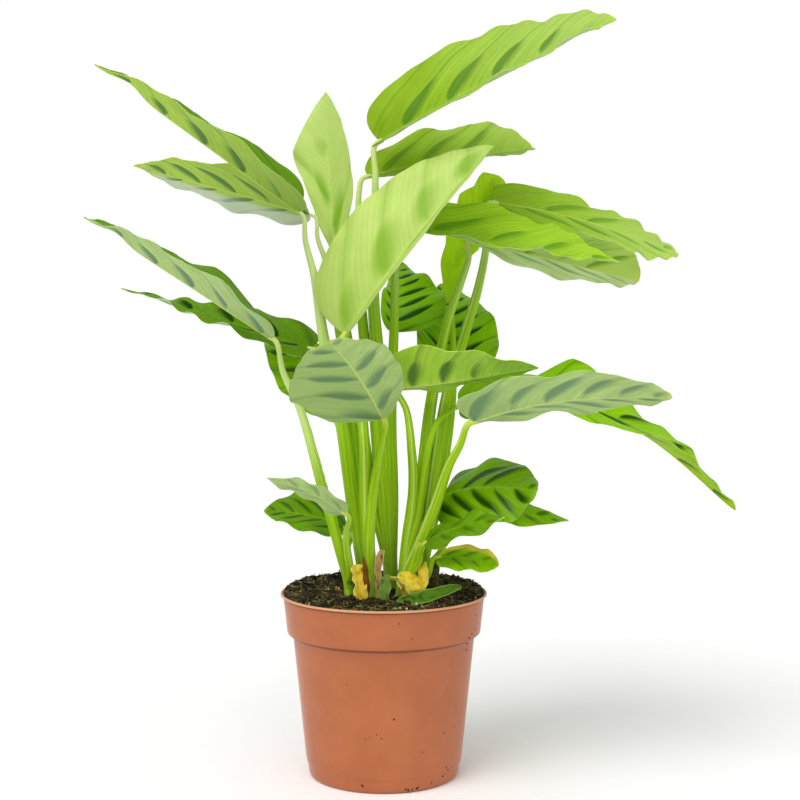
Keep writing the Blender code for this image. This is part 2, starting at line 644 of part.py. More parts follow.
def main():
    for obj in list(bpy.data.objects):
        bpy.data.objects.remove(obj)
    plant = new_collection("potted_calathea")
    cutters = new_collection("cutters", hidden=True)

    pot_plastic = make_material("pot_plastic", (0.51, 0.17, 0.07), 0.55)
    soil_dark = make_material("soil_dark", (0.03, 0.018, 0.012), 0.95)
    blade_green = make_material("blade_green", (0.22, 0.42, 0.06), 0.45)
    stalk_green = make_material("stalk_green", (0.35, 0.50, 0.08), 0.45)
    old_materials = {
        "old_leaf_yellow": make_material("old_leaf_yellow", (0.75, 0.55, 0.12), 0.7),
        "old_sheath_brown": make_material("old_sheath_brown", (0.20, 0.09, 0.03), 0.8),
        "sheath_green": make_material("sheath_green", (0.33, 0.42, 0.12), 0.6),
    }
    moss_dark = make_material("moss_dark", (0.05, 0.05, 0.02), 0.95)

    make_pot(plant, cutters, pot_plastic)
    soil = make_soil(plant, cutters, soil_dark)
    for name in SHOOT_FEET:
        make_shoot(name, plant, stalk_green)
    make_mossy_stub(plant, moss_dark)
    for name, form in LEAVES.items():
        if name in LITTER:
            rest_on(make_blade(name, form, plant, old_materials[LITTER[name]]), soil)
        else:
            make_blade(name, form, plant, blade_green)


main()
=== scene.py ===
# %% [markdown]
# # A potted calathea
# A young calathea stands in a 12 cm nursery pot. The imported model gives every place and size, so the first
# step loads it as a fixed frame. All later pieces ride on its one body, and stand in for its plain solids.

# %% Load the frame
import math
import random

import bpy
import numpy as np
from mathutils import Euler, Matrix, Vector, noise


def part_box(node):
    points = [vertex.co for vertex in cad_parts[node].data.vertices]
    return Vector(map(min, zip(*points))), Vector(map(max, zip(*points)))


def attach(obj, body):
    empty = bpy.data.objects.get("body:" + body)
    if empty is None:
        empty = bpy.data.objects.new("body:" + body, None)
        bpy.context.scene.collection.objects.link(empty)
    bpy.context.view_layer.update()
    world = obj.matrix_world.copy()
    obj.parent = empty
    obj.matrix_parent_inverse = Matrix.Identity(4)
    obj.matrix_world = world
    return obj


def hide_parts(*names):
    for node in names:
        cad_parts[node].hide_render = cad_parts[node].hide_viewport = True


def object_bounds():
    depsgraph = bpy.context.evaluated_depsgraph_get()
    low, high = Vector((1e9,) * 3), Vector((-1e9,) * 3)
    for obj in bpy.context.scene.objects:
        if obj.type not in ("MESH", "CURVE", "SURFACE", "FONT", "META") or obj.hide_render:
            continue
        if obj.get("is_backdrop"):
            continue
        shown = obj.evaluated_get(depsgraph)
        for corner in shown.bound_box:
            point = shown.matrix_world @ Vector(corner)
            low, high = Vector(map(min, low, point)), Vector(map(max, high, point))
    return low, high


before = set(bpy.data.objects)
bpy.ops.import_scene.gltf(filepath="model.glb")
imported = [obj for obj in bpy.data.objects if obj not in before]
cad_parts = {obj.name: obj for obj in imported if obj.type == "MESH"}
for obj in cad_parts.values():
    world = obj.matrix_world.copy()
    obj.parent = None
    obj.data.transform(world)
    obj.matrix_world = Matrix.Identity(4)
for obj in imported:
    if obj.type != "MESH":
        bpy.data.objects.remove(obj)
CAD_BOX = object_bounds()
MM = 0.001
print("frame:", len(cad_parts), "nodes, box", [[round(c, 4) for c in corner] for corner in CAD_BOX])

# %% [markdown]
# ## Camera
# The plant is seen from a little above the pot, with a longish lens that keeps the stalks nearly parallel.
# The camera could be aimed with a constraint, but a plain place and turn is easier to repeat in other views.

# %% Camera
CAMERA_PLACE = (0.0094, -0.8662, 0.2664)
CAMERA_PITCH = 3.2
FOCAL_LENGTH = 67.5
SENSOR_WIDTH = 36.0

lens = bpy.data.cameras.new("camera")
lens.sensor_width = SENSOR_WIDTH
lens.lens = FOCAL_LENGTH
lens.clip_start = 0.01
camera = bpy.data.objects.new("camera", lens)
camera.location = CAMERA_PLACE
camera.rotation_euler = (math.radians(90 - CAMERA_PITCH), 0, 0)
bpy.context.scene.collection.objects.link(camera)
bpy.context.scene.camera = camera
print("camera", CAMERA_PLACE, "pitched down", CAMERA_PITCH)

# %% [markdown]
# ## Floor and light
# A plant for a catalogue stands on white paper in soft light. A white world lights it from all sides, which
# keeps the shadows under the leaves open, and one soft light from the upper left gives the leaves their
# shape. Lamps near the plant would leave the far floor grey, so both lights are suns with a wide spread.
# The floor is a plain pale sheet, far wider than the plant, so that no edge of it shows.

# %% Floor and light
# how strongly the white room lights the plant, how bright the camera sees it, and the floor's side
ROOM_LIGHT = 0.62
ROOM_SEEN = 1.0
FLOOR_SIZE = 12.0

scene = bpy.context.scene
scene.view_settings.view_transform = "Standard"
scene.view_settings.look = "None"

world = bpy.data.worlds.new("white_room")
scene.world = world
world.use_nodes = True
room = world.node_tree.nodes["Background"]
room.inputs["Color"].default_value = (1.0, 1.0, 1.0, 1.0)
seen = world.node_tree.nodes.new("ShaderNodeLightPath")
level = world.node_tree.nodes.new("ShaderNodeMapRange")
level.inputs["To Min"].default_value = ROOM_LIGHT
level.inputs["To Max"].default_value = ROOM_SEEN
world.node_tree.links.new(seen.outputs["Is Camera Ray"], level.inputs["Value"])
world.node_tree.links.new(level.outputs["Result"], room.inputs["Strength"])


def soft_sun(name, place, strength, spread):
    """Even light that comes from the direction of place, softened by its spread in degrees."""
    data = bpy.data.lights.new(name, "SUN")
    data.energy = strength
    data.angle = math.radians(spread)
    lamp = bpy.data.objects.new(name, data)
    lamp.location = place
    lamp.rotation_euler = (-Vector(place)).to_track_quat("-Z", "Y").to_euler()
    scene.collection.objects.link(lamp)


soft_sun("light_above", (-0.6, -0.8, 1.3), strength=1.7, spread=40)
soft_sun("light_front", (0.7, -1.2, 0.5), strength=0.52, spread=60)


def nothing_selected():
    """Leaves no object selected or active, so that the next new piece starts clean."""
    bpy.context.view_layer.update()
    bpy.ops.object.select_all(action="DESELECT")
    bpy.context.view_layer.objects.active = None


def only_this(obj):
    """Selects one object and makes it active, with everything else deselected."""
    nothing_selected()
    obj.select_set(True)
    bpy.context.view_layer.objects.active = obj


nothing_selected()
bpy.ops.mesh.primitive_plane_add(size=FLOOR_SIZE)
floor = bpy.context.object
floor.name = "floor"
floor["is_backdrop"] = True
print("floor and", len(bpy.data.lights), "lamps")

# %% [markdown]
# ## Writing finishes as sums
# The finishes are patterns that follow the leaf: veins, stripes, a paler rib. Each is a sum of a few
# coordinates. Nodes can be wired one by one, but a small class that lets Python's own signs make the
# Math nodes keeps each pattern as short as its formula.

# %% Helpers for materials


class Wire:
    """A number that travels through a material's nodes."""

    def __init__(self, tree, socket):
        self.tree = tree
        self.socket = socket

    def math(self, operation, *others):
        node = self.tree.nodes.new("ShaderNodeMath")
        node.operation = operation
        for socket, value in zip(node.inputs, (self, *others)):
            if isinstance(value, Wire):
                self.tree.links.new(value.socket, socket)
            else:
                socket.default_value = value
        return Wire(self.tree, node.outputs[0])

    def __add__(self, other):
        return self.math("ADD", other)

    def __sub__(self, other):
        return self.math("SUBTRACT", other)

    def __mul__(self, other):
        return self.math("MULTIPLY", other)

    def __truediv__(self, other):
        return self.math("DIVIDE", other)

    def __pow__(self, other):
        return self.math("POWER", other)

    def __abs__(self):
        return self.math("ABSOLUTE")

    def flip(self):
        """One minus the number."""
        return (self * -1.0) + 1.0

    def rise(self, low, high):
        """0 below low, 1 above high and a smooth rise between; low may be the larger one."""
        node = self.tree.nodes.new("ShaderNodeMapRange")
        node.interpolation_type = "SMOOTHSTEP"
        node.clamp = True
        self.tree.links.new(self.socket, node.inputs["Value"])
        for name, value in (("From Min", low), ("From Max", high)):
            if isinstance(value, Wire):
                self.tree.links.new(value.socket, node.inputs[name])
            else:
                node.inputs[name].default_value = value
        return Wire(self.tree, node.outputs["Result"])

    def waves(self, count):
        """A smooth wave between 0 and 1 that repeats count times while the number goes from 0 to 1."""
        return (self * (count * 2 * math.pi)).math("SINE") * 0.5 + 0.5


class Finish:
    """A Principled material with the coordinates and blends that this plant's finishes need."""

    def __init__(self, name, roughness, specular):
        self.material = bpy.data.materials.new(name)
        self.material.use_nodes = True
        self.tree = self.material.node_tree
        self.shader = self.tree.nodes["Principled BSDF"]
        self.shader.inputs["Roughness"].default_value = roughness
        self.shader.inputs["Specular IOR Level"].default_value = specular

    def place(self):
        """Where the point is on the piece, counted from the world's origin."""
        return self.tree.nodes.new("ShaderNodeTexCoord").outputs["Object"]

    def coordinates(self):
        """How far the point is to the right, to the back and above the ground, in metres."""
        split = self.tree.nodes.new("ShaderNodeSeparateXYZ")
        self.tree.links.new(self.place(), split.inputs[0])
        return [Wire(self.tree, socket) for socket in split.outputs]

    def map(self, name):
        """The two coordinates of one of the piece's own UV maps."""
        node = self.tree.nodes.new("ShaderNodeUVMap")
        node.uv_map = name
        split = self.tree.nodes.new("ShaderNodeSeparateXYZ")
        self.tree.links.new(node.outputs["UV"], split.inputs[0])
        return Wire(self.tree, split.outputs[0]), Wire(self.tree, split.outputs[1])

    def vector(self, x, y, z=0.0):
        """A place made of three numbers, to look a noise up in."""
        node = self.tree.nodes.new("ShaderNodeCombineXYZ")
        for socket, value in zip(node.inputs, (x, y, z)):
            if isinstance(value, Wire):
                self.tree.links.new(value.socket, socket)
            else:
                socket.default_value = value
        return node.outputs[0]

    def noise(self, vector, scale, detail, roughness=0.55, distortion=0.0):
        """A cloudy number round 0.5, with more blotches to the metre as the scale grows."""
        node = self.tree.nodes.new("ShaderNodeTexNoise")
        node.inputs["Scale"].default_value = scale
        node.inputs["Detail"].default_value = detail
        node.inputs["Roughness"].default_value = roughness
        node.inputs["Distortion"].default_value = distortion
        self.tree.links.new(vector, node.inputs["Vector"])
        return Wire(self.tree, node.outputs["Fac"])

    def chance(self, number, seed):
        """A random number from 0 to 1 for each whole number."""
        node = self.tree.nodes.new("ShaderNodeTexWhiteNoise")
        node.noise_dimensions = "2D"
        self.tree.links.new(self.vector(number, seed), node.inputs["Vector"])
        return Wire(self.tree, node.outputs["Value"])

    def cells(self, vector, scale):
        """How far the point is from the nearest of many scattered spots."""
        node = self.tree.nodes.new("ShaderNodeTexVoronoi")
        node.inputs["Scale"].default_value = scale
        self.tree.links.new(vector, node.inputs["Vector"])
        return Wire(self.tree, node.outputs["Distance"])

    def blend(self, share, first, second):
        """first where share is 0, second where it is 1."""
        node = self.tree.nodes.new("ShaderNodeMix")
        node.data_type = "RGBA"
        self.tree.links.new(share.socket, node.inputs["Factor"])
        for socket, value in ((node.inputs[6], first), (node.inputs[7], second)):
            if isinstance(value, tuple):
                socket.default_value = (*value, 1.0)
            else:
                self.tree.links.new(value, socket)
        return node.outputs[2]

    def colour(self, socket):
        self.tree.links.new(socket, self.shader.inputs["Base Color"])

    def roughness(self, wire):
        self.tree.links.new(wire.socket, self.shader.inputs["Roughness"])

    def bump(self, height, distance):
        """Relief as high as distance, in metres, where height is 1."""
        node = self.tree.nodes.new("ShaderNodeBump")
        node.inputs["Distance"].default_value = distance
        self.tree.links.new(height.socket, node.inputs["Height"])
        self.tree.links.new(node.outputs["Normal"], self.shader.inputs["Normal"])


def paint(red, green, blue):
    """A colour as shown on screen, 0 to 255, as the linear numbers that a shader takes."""
    shares = [value / 255 for value in (red, green, blue)]
    return tuple(s / 12.92 if s <= 0.04045 else ((s + 0.055) / 1.055) ** 2.4 for s in shares)


def darker(colour, share):
    """The colour with only a share of its light."""
    return tuple(c * share for c in colour)


paper = Finish("floor_paper", 0.9, 0.2)
grain = paper.noise(paper.place(), 90.0, 4.0)
paper.colour(paper.blend(grain, paint(250, 250, 250), paint(254, 254, 254)))
floor.data.materials.append(paper.material)
print("floor finish made")

# %% [markdown]
# ## Shared modelling steps
# Round pieces are turned, as on a lathe: a single vertex is drawn along the profile and spun about the
# upright axis. Screw would do the same as a modifier, but spin shows the profile first, which is easier to
# follow. Every piece ends with its origin at the world's origin, so that patterns stay where they are.
# Large meshes are moved and mapped through arrays of numbers, because a loop over their points is slow.

# %% Helpers for shapes


def edit(obj):
    """Opens the object for editing, with all its points selected."""
    only_this(obj)
    bpy.ops.object.mode_set(mode="EDIT")
    bpy.ops.mesh.select_mode(type="VERT")
    bpy.ops.mesh.select_all(action="SELECT")


def done():
    """Closes the object that was opened for editing."""
    bpy.ops.object.mode_set(mode="OBJECT")


def lathe(name, profile, steps):
    """A profile of (radius, height) points drawn vertex by vertex, then spun about the upright axis."""
    nothing_selected()
    bpy.ops.mesh.primitive_plane_add(size=0.01)
    obj = bpy.context.object
    obj.name = name
    edit(obj)
    bpy.ops.mesh.merge(type="CENTER")
    bpy.ops.transform.translate(value=(profile[0][0], 0, profile[0][1]))
    for (r0, z0), (r1, z1) in zip(profile, profile[1:]):
        bpy.ops.mesh.extrude_region_move(TRANSFORM_OT_translate={"value": (r1 - r0, 0, z1 - z0)})
    bpy.ops.mesh.select_all(action="SELECT")
    bpy.ops.mesh.spin(steps=steps, angle=2 * math.pi, center=(0, 0, 0), axis=(0, 0, 1))
    bpy.ops.mesh.select_all(action="SELECT")
    bpy.ops.mesh.remove_doubles(threshold=0.000002)
    bpy.ops.mesh.normals_make_consistent(inside=False)
    done()
    return obj


def smooth(obj, angle=60):
    """Soft shading over edges that turn by less than the angle, in degrees."""
    only_this(obj)
    bpy.ops.object.shade_smooth_by_angle(angle=math.radians(angle))


def apply_all(obj):
    """Makes the object's modifiers part of its mesh."""
    only_this(obj)
    for modifier in list(obj.modifiers):
        bpy.ops.object.modifier_apply(modifier=modifier.name)


def points_of(obj):
    """The places of the object's points, one row each."""
    found = np.empty(len(obj.data.vertices) * 3)
    obj.data.vertices.foreach_get("co", found)
    return found.reshape(-1, 3)


def move_points(obj, points):
    """Puts the object's points at the given places."""
    obj.data.vertices.foreach_set("co", np.ascontiguousarray(points, dtype=np.float64).ravel())
    obj.data.update()


def corner_points(obj):
    """The number of the point at each corner of each face."""
    corners = np.empty(len(obj.data.loops), np.int32)
    obj.data.loops.foreach_get("vertex_index", corners)
    return corners


def write_maps(obj, maps):
    """Gives the object these UV maps alone; each is a pair of coordinates for every corner."""
    while obj.data.uv_layers:
        obj.data.uv_layers.remove(obj.data.uv_layers[0])
    for name, pair in maps.items():
        layer = obj.data.uv_layers.new(name=name)
        layer.uv.foreach_set("vector", np.stack(pair, 1).astype(np.float32).ravel())


def unite(name, model_points, model_faces, copies):
    """One mesh of many copies of a small model; each copy is a (3x3 turn and scale, place) pair."""
    points = [model_points @ turn.T + place for turn, place in copies]
    count = len(model_points)
    faces = [tuple(index + i * count for index in face) for i in range(len(copies)) for face in model_faces]
    mesh = bpy.data.meshes.new(name)
    mesh.from_pydata(np.concatenate(points).tolist(), [], faces)
    mesh.update()
    obj = bpy.data.objects.new(name, mesh)
    scene.collection.objects.link(obj)
    return obj


def belongs(obj, slot, *nodes):
    """The piece rides on the plant's one body and stands in for the nodes; slot is not used."""
    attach(obj, "root")
    if nodes:
        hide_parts(*nodes)


print("shape helpers ready")

# %% [markdown]
# ## The pot
# A nursery pot is blown or drawn from one thin sheet of terracotta-coloured plastic. It has a lip that
# stacks, a straight band, a step, and a long wall that tapers to a rounded foot. A cylinder with bevelled
# edges could be pulled into that shape, but turning gives the whole wall, inside and out, in one go. The
# drain holes are cut through the flat bottom afterwards, as a punch does it.

# %% Pot sizes
# the wall's profile, (radius, height) in metres: up the outside to the lip, then down the inside
POT_OUTSIDE = [
    (0.0415, 0.0), (0.0426, 0.0003), (0.0434, 0.0011), (0.0439, 0.0024), (0.0441, 0.0040), (0.0447, 0.0077),
    (0.0448, 0.0080), (0.0450, 0.0082), (0.0451, 0.0086), (0.0457, 0.0120), (0.0470, 0.0248),
    (0.0490, 0.0445), (0.0510, 0.0642), (0.0525, 0.0790), (0.0529, 0.0806), (0.0537, 0.0820),
    (0.0552, 0.0832), (0.0560, 0.0836), (0.0563, 0.0843), (0.05655, 0.0870), (0.0574, 0.0950),
    (0.0583, 0.1032), (0.0584, 0.1044), (0.0583, 0.1047), (0.0587, 0.10495), (0.0596, 0.1050),
    (0.0600, 0.1053), (0.0600, 0.1058), (0.0598, 0.1062), (0.0594, 0.1064),
]
POT_INSIDE = [
    (0.0590, 0.1063), (0.0586, 0.1058), (0.0581, 0.1040), (0.0577, 0.1020), (0.0551, 0.0840),
    (0.0515, 0.0810), (0.0445, 0.0120), (0.0428, 0.0038), (0.0412, 0.0016),
]
# how high the bottom is inside, how finely the wall is turned, and the holes with the ring they stand on
POT_FLOOR = 0.0016
POT_STEPS = 144
DRAIN_HOLES = 6
DRAIN_RADIUS = 0.0035
DRAIN_RING = 0.028
print("pot profile:", len(POT_OUTSIDE), "points outside,", len(POT_INSIDE), "inside")

# %% Pot shape
pot = lathe("pot_wall", [(0.0, 0.0), *POT_OUTSIDE, *POT_INSIDE, (0.0, POT_FLOOR)], POT_STEPS)

nothing_selected()
first_hole = (DRAIN_RING, 0, 0.001)
bpy.ops.mesh.primitive_cylinder_add(vertices=24, radius=DRAIN_RADIUS, depth=0.006, location=first_hole)
drain_cutter = bpy.context.object
edit(drain_cutter)
to_next_hole = math.radians(360 / DRAIN_HOLES)
for i in range(DRAIN_HOLES - 1):
    bpy.ops.mesh.duplicate(mode=1)
    bpy.ops.transform.rotate(value=to_next_hole, orient_axis="Z", center_override=(0, 0, 0))
done()
cut = pot.modifiers.new("Drain holes", "BOOLEAN")
cut.object = drain_cutter
cut.solver = "EXACT"
apply_all(pot)
bpy.data.objects.remove(drain_cutter)
smooth(pot, 50)
print("pot:", len(pot.data.polygons), "faces")

# %% [markdown]
# ## The pot's plastic
# The plastic is matt, with a faint bloom of dust and a few specks and scuffs. A painted highlight pales the
# lip's top edge, and painted shade darkens the creases under the lip and at the step of the band. All that
# could be painted on a picture, but the highlight and the shade follow the pot's height, so one coordinate
# and a few noises put them where they belong and stay sharp from nearby.

# %% Pot finish
# heights in metres between which each effect comes in, and goes again where there is a second pair
LIP_EDGE = (0.1049, 0.1054)
LIP_CREASE = ((0.1040, 0.1046), (0.1050, 0.1048))
STEP_CREASE = ((0.0812, 0.0826), (0.0839, 0.0834))
SMUDGED_BAND = (0.098, 0.106)

plastic = Finish("pot_plastic_finish", 0.46, 0.5)
plastic.shader.inputs["Sheen Weight"].default_value = 0.5
plastic.shader.inputs["Sheen Roughness"].default_value = 0.25
at = plastic.place()
height = plastic.coordinates()[2]


def crease_shade_at(below, above):
    """1 between the two pairs of heights, where shade is painted into the pot's creases, and 0 outside them.
    """
    return height.rise(*below) * height.rise(*above)


mottle = plastic.noise(at, 35.0, 4.0)
dust = plastic.noise(at, 900.0, 2.0)
base = plastic.blend(mottle.rise(0.3, 0.7), paint(170, 92, 48), paint(180, 101, 56))
specks = plastic.cells(at, 260.0).rise(0.055, 0.03) * plastic.noise(at, 45.0, 1.0).rise(0.62, 0.66)
base = plastic.blend(specks, base, paint(92, 52, 34))
scuffs = plastic.noise(at, 55.0, 6.0, 0.7, 2.0).rise(0.66, 0.74)
base = plastic.blend(scuffs * 0.35, base, paint(214, 150, 116))
# painted highlight: the lip's top edge is made paler, where the light catches it
lip_highlight = height.rise(*LIP_EDGE) * (mottle * 0.3 + 0.45)
base = plastic.blend(lip_highlight, base, paint(226, 176, 132))
# painted shade: the creases under the lip and at the step are darkened, and made rougher there as well
crease_shade = crease_shade_at(*LIP_CREASE) + crease_shade_at(*STEP_CREASE)
base = plastic.blend(crease_shade * 0.65, base, paint(92, 40, 18))
smudge = plastic.noise(at, 26.0, 5.0, 0.7).rise(0.60, 0.72) * height.rise(*SMUDGED_BAND)
base = plastic.blend(smudge * 0.5, base, paint(120, 84, 58))
plastic.colour(base)
plastic.roughness(mottle * 0.12 + 0.42 + scuffs * 0.1 + crease_shade * 0.5)
plastic.bump(dust * 0.4 + mottle, 0.00006)
pot.data.materials.append(plastic.material)
belongs(pot, "pot_plastic", "pot")
print("pot finish:", len(plastic.tree.nodes), "nodes")

# %% [markdown]
# ## The soil
# Potting soil is a dark crumbly mix of peat and fibre, pressed down at the wall and mounded behind the
# plant. A flat disc with a noisy picture would look painted, so the surface is a fine turned disc whose
# points are lifted by several sizes of lumps, and loose crumbs, root fibres and grains lie on it.

# %% Soil surface
SOIL_FRONT_HEIGHT = 0.1045
SOIL_WALL_RADIUS = 0.0579
SOIL_RINGS = 96
SOIL_STEPS = 320
# how far back the mound starts, how long its slope is and how high it gets
MOUND_START = -0.040
MOUND_SLOPE = 0.070
MOUND_HEIGHT = 0.0036
# the same for the soil that is pressed up against the wall
WALL_START = 0.048
WALL_SLOPE = 0.009
WALL_RISE = 0.0004
# the hidden side and bottom of the soil, (radius, height) just inside the pot's wall
SOIL_SIDE = [
    (0.0574, 0.1020), (0.0548, 0.0843), (0.0512, 0.0813), (0.0442, 0.0123), (0.0425, 0.0041),
    (0.0409, 0.0019), (0.0, 0.0019),
]


def soil_level(x, y):
    """The smooth level of the soil: low in front, mounded behind and a little raised at the wall."""
    behind = min(1.0, max(0.0, (y - MOUND_START) / MOUND_SLOPE))
    at_wall = min(1.0, max(0.0, (math.hypot(x, y) - WALL_START) / WALL_SLOPE))
    return SOIL_FRONT_HEIGHT + MOUND_HEIGHT * behind * behind * (3 - 2 * behind) + WALL_RISE * at_wall


def soil_height(x, y):
    """The level with its lumps, from clods of 6 mm down to grit of 1.6 mm."""
    lumps = 0.0009 * noise.noise(Vector((x, y, 0.0)) / 0.006)
    lumps += 0.0008 * noise.noise(Vector((x, y, 0.3)) / 0.0032)
    lumps += 0.0006 * abs(noise.noise(Vector((x, y, 0.6)) / 0.0016))
    return soil_level(x, y) + lumps


rings = [(SOIL_WALL_RADIUS * i / SOIL_RINGS, SOIL_FRONT_HEIGHT) for i in range(SOIL_RINGS + 1)]
soil = lathe("soil_surface", [*rings, *SOIL_SIDE], SOIL_STEPS)
places = points_of(soil)
for place in places:
    if place[2] > SOIL_FRONT_HEIGHT - 0.0003:
        place[2] = soil_height(place[0], place[1])
move_points(soil, places)
smooth(soil)
print("soil:", len(soil.data.polygons), "faces, top", round(places[:, 2].max() * 1000, 1), "mm")

# %% [markdown]
# ## The soil's finish
# Wet peat is nearly black, with browner clods where it has dried and straw-coloured threads in it. One noise
# gives blotches of one size only, so three are laid over each other: clods, damp patches and thin threads
# that are stretched out of shape. The same noises raise a fine relief on the lumps.

# %% Soil finish
peat = Finish("soil_peat", 0.95, 0.25)
at = peat.place()
clods = peat.noise(at, 220.0, 5.0, 0.65)
threads = peat.noise(at, 900.0, 3.0, 0.6, 1.5)
base = peat.blend(clods.rise(0.35, 0.68), paint(12, 11, 6), paint(44, 40, 20))
damp = peat.noise(at, 60.0, 2.0)
base = peat.blend(damp.rise(0.42, 0.62) * 0.6, base, paint(66, 56, 28))
base = peat.blend(threads.rise(0.6, 0.72) * 0.55, base, paint(120, 104, 62))
peat.colour(base)
peat.bump(clods + threads * 0.5, 0.0012)
soil.data.materials.append(peat.material)
belongs(soil, "soil", "soil")
print("soil finish:", len(peat.tree.nodes), "nodes")

# %% [markdown]
# ## Crumbs
# Loose crumbs lie on the soil and break its edge against the pot and the stalks. Particles could scatter
# them, but it would be hard to keep them off the stalks, so one lumpy ball is copied to drawn places, all in
# one mesh. The draws start from a fixed number, so the same crumbs lie in the same places each time.

# %% Crumbs of soil
# how many crumbs and how big; and half of the place, right to left and front to back, that the stalks take
CRUMBS = 900
CRUMB_SIZES = (0.0005, 0.0007, 0.0009, 0.0013, 0.0017)
CLUMP_HALF_WIDTH = 0.026
CLUMP_HALF_DEPTH = 0.016
rng = random.Random(7)


def any_turn(size, flat=1.0):
    """A random turn, times the sizes along its own axes."""
    turn = Euler([rng.uniform(0, 2 * math.pi) for _ in range(3)]).to_matrix()
    scale = np.diag([size * rng.uniform(0.7, 1.3), size * rng.uniform(0.7, 1.3), size * flat])
    return np.array(turn) @ scale


def soil_spot(most=0.055):
    """A random place on the soil, away from the stalks."""
    while True:
        angle = rng.uniform(0, 2 * math.pi)
        radius = most * math.sqrt(rng.random())
        x, y = radius * math.cos(angle), radius * math.sin(angle)
        if abs(x) > CLUMP_HALF_WIDTH or abs(y) > CLUMP_HALF_DEPTH:
            return x, y


nothing_selected()
bpy.ops.mesh.primitive_ico_sphere_add(subdivisions=2, radius=1.0)
crumb = bpy.context.object
lumpy = points_of(crumb)
lumpy = np.array([p * (1 + 0.45 * noise.noise(Vector(p) * 1.3)) for p in lumpy])
crumb_faces = [tuple(face.vertices) for face in crumb.data.polygons]
bpy.data.objects.remove(crumb)

copies = []
for i in range(CRUMBS):
    x, y = soil_spot()
    size = rng.choice(CRUMB_SIZES)
    copies.append((any_turn(size, 0.8), np.array((x, y, soil_height(x, y) + 0.2 * size))))
crumbs = unite("soil_crumbs", lumpy, crumb_faces, copies)
crumbs.data.materials.append(peat.material)
belongs(crumbs, "soil")
print("crumbs:", len(copies))

# %% [markdown]
# ## Chips, grains and specks
# Among the crumbs lie thin chips of bark and moss and a few pale grains, and small specks of soil stick to
# the outside of the pot. Each kind could be modelled, but at one to five millimetres their shapes hardly
# show, so all are the same lumpy ball, flattened, stretched or made small.

# %% Chips, moss and grains
CHIPS = 420
CHIP_SIZES = (0.0004, 0.0009)
chips = []
for i in range(CHIPS):
    x, y = soil_spot(0.057)
    size = rng.uniform(*CHIP_SIZES)
    long_and_thin = any_turn(size, 0.35) @ np.diag([2.2, 0.7, 1.0])
    chips.append((long_and_thin, np.array((x, y, soil_height(x, y) + 0.0004))))
flakes = unite("soil_chips", lumpy, crumb_faces, chips)
flake = Finish("soil_chip", 0.85, 0.2)
at = flake.place()
kind = flake.noise(at, 90.0, 1.0)
base = flake.blend(kind.rise(0.44, 0.52), paint(90, 96, 34), paint(116, 80, 40))
base = flake.blend(kind.rise(0.60, 0.66), base, paint(186, 168, 118))
flake.colour(base)
flakes.data.materials.append(flake.material)
belongs(flakes, "soil")

# how far to the right and to the back each grain lies, in millimetres
GRAINS = [(8.2, -32.5), (6.9, -43.6), (18.6, -34.0), (21.3, -42.2), (6.6, -15.5), (9.4, -44.0), (13.0, -47.0)]
places = [np.array((x * MM, y * MM, soil_height(x * MM, y * MM) + 0.0005)) for x, y in GRAINS]
grains = unite("soil_grains", lumpy, crumb_faces, [(any_turn(0.0007), place) for place in places])
grit = Finish("soil_grain", 0.6, 0.3)
kind = grit.noise(grit.place(), 300.0, 1.0)
grit.colour(grit.blend(kind.rise(0.45, 0.55), paint(232, 206, 70), paint(236, 236, 220)))
grains.data.materials.append(grit.material)
belongs(grains, "soil")

# specks of soil on the pot: how far to the right and how high, in millimetres, and their size
SPECKS = [(52.5, 97, 0.35), (53, 92, 0.3), (51.8, 89, 0.35), (50, 87, 0.4), (48.3, 85, 0.5), (47.4, 81, 0.6),
          (47.2, 77, 0.5), (6.1, 44, 0.55), (-20, 63, 0.3), (16, 90, 0.3), (9, 99, 0.35), (36, 58, 0.3),
          (-9.6, 32, 0.35), (-7.6, 33.2, 0.3), (-3.4, 35, 0.3), (-0.9, 33, 0.35), (21.9, 23.5, 0.35),
          (34.3, 32, 0.35), (40.5, 34, 0.3), (35.6, 11, 0.45), (38.9, 9.5, 0.3), (36.6, 8.8, 0.5),
          (33.4, 6.1, 0.55), (35.1, 6.9, 0.3), (27.1, 4.2, 0.4), (12.7, 2.6, 0.5), (14.1, 1.9, 0.7),
          (16.2, 2.1, 0.45), (18.9, 2.3, 0.7), (19.8, 2.9, 0.4), (-11.8, 5, 0.6), (-11.3, 4.2, 0.4)]
heights = [level for radius, level in POT_OUTSIDE]
radii = [radius for radius, level in POT_OUTSIDE]
dots = []
for x, z, size in SPECKS:
    radius = float(np.interp(z * MM, heights, radii))
    on_wall = np.array((x * MM, -math.sqrt(radius**2 - (x * MM) ** 2), z * MM))
    dots.append((any_turn(size * MM), on_wall))
specks = unite("pot_soil_specks", lumpy, crumb_faces, dots)
specks.data.materials.append(peat.material)
belongs(specks, "soil")
print("chips:", len(chips), "grains:", len(GRAINS), "specks:", len(SPECKS))

# %% [markdown]
# ## Root fibres
# Fine roots and threads of peat lie over the soil like short hairs. Hair curves could be grown on it, but
# they aren't a mesh, so each fibre is a thin closed tube along a route that wanders and dips into the soil
# at both ends.

# %% Root fibres
# how many fibres and how many points in each; their lengths and thicknesses, and how far out they may
# reach, in metres
FIBRES = 620
FIBRE_POINTS = 9
FIBRE_LENGTHS = (0.005, 0.018)
FIBRE_RADII = (0.00009, 0.0002)
FIBRE_LIMIT = 0.0575


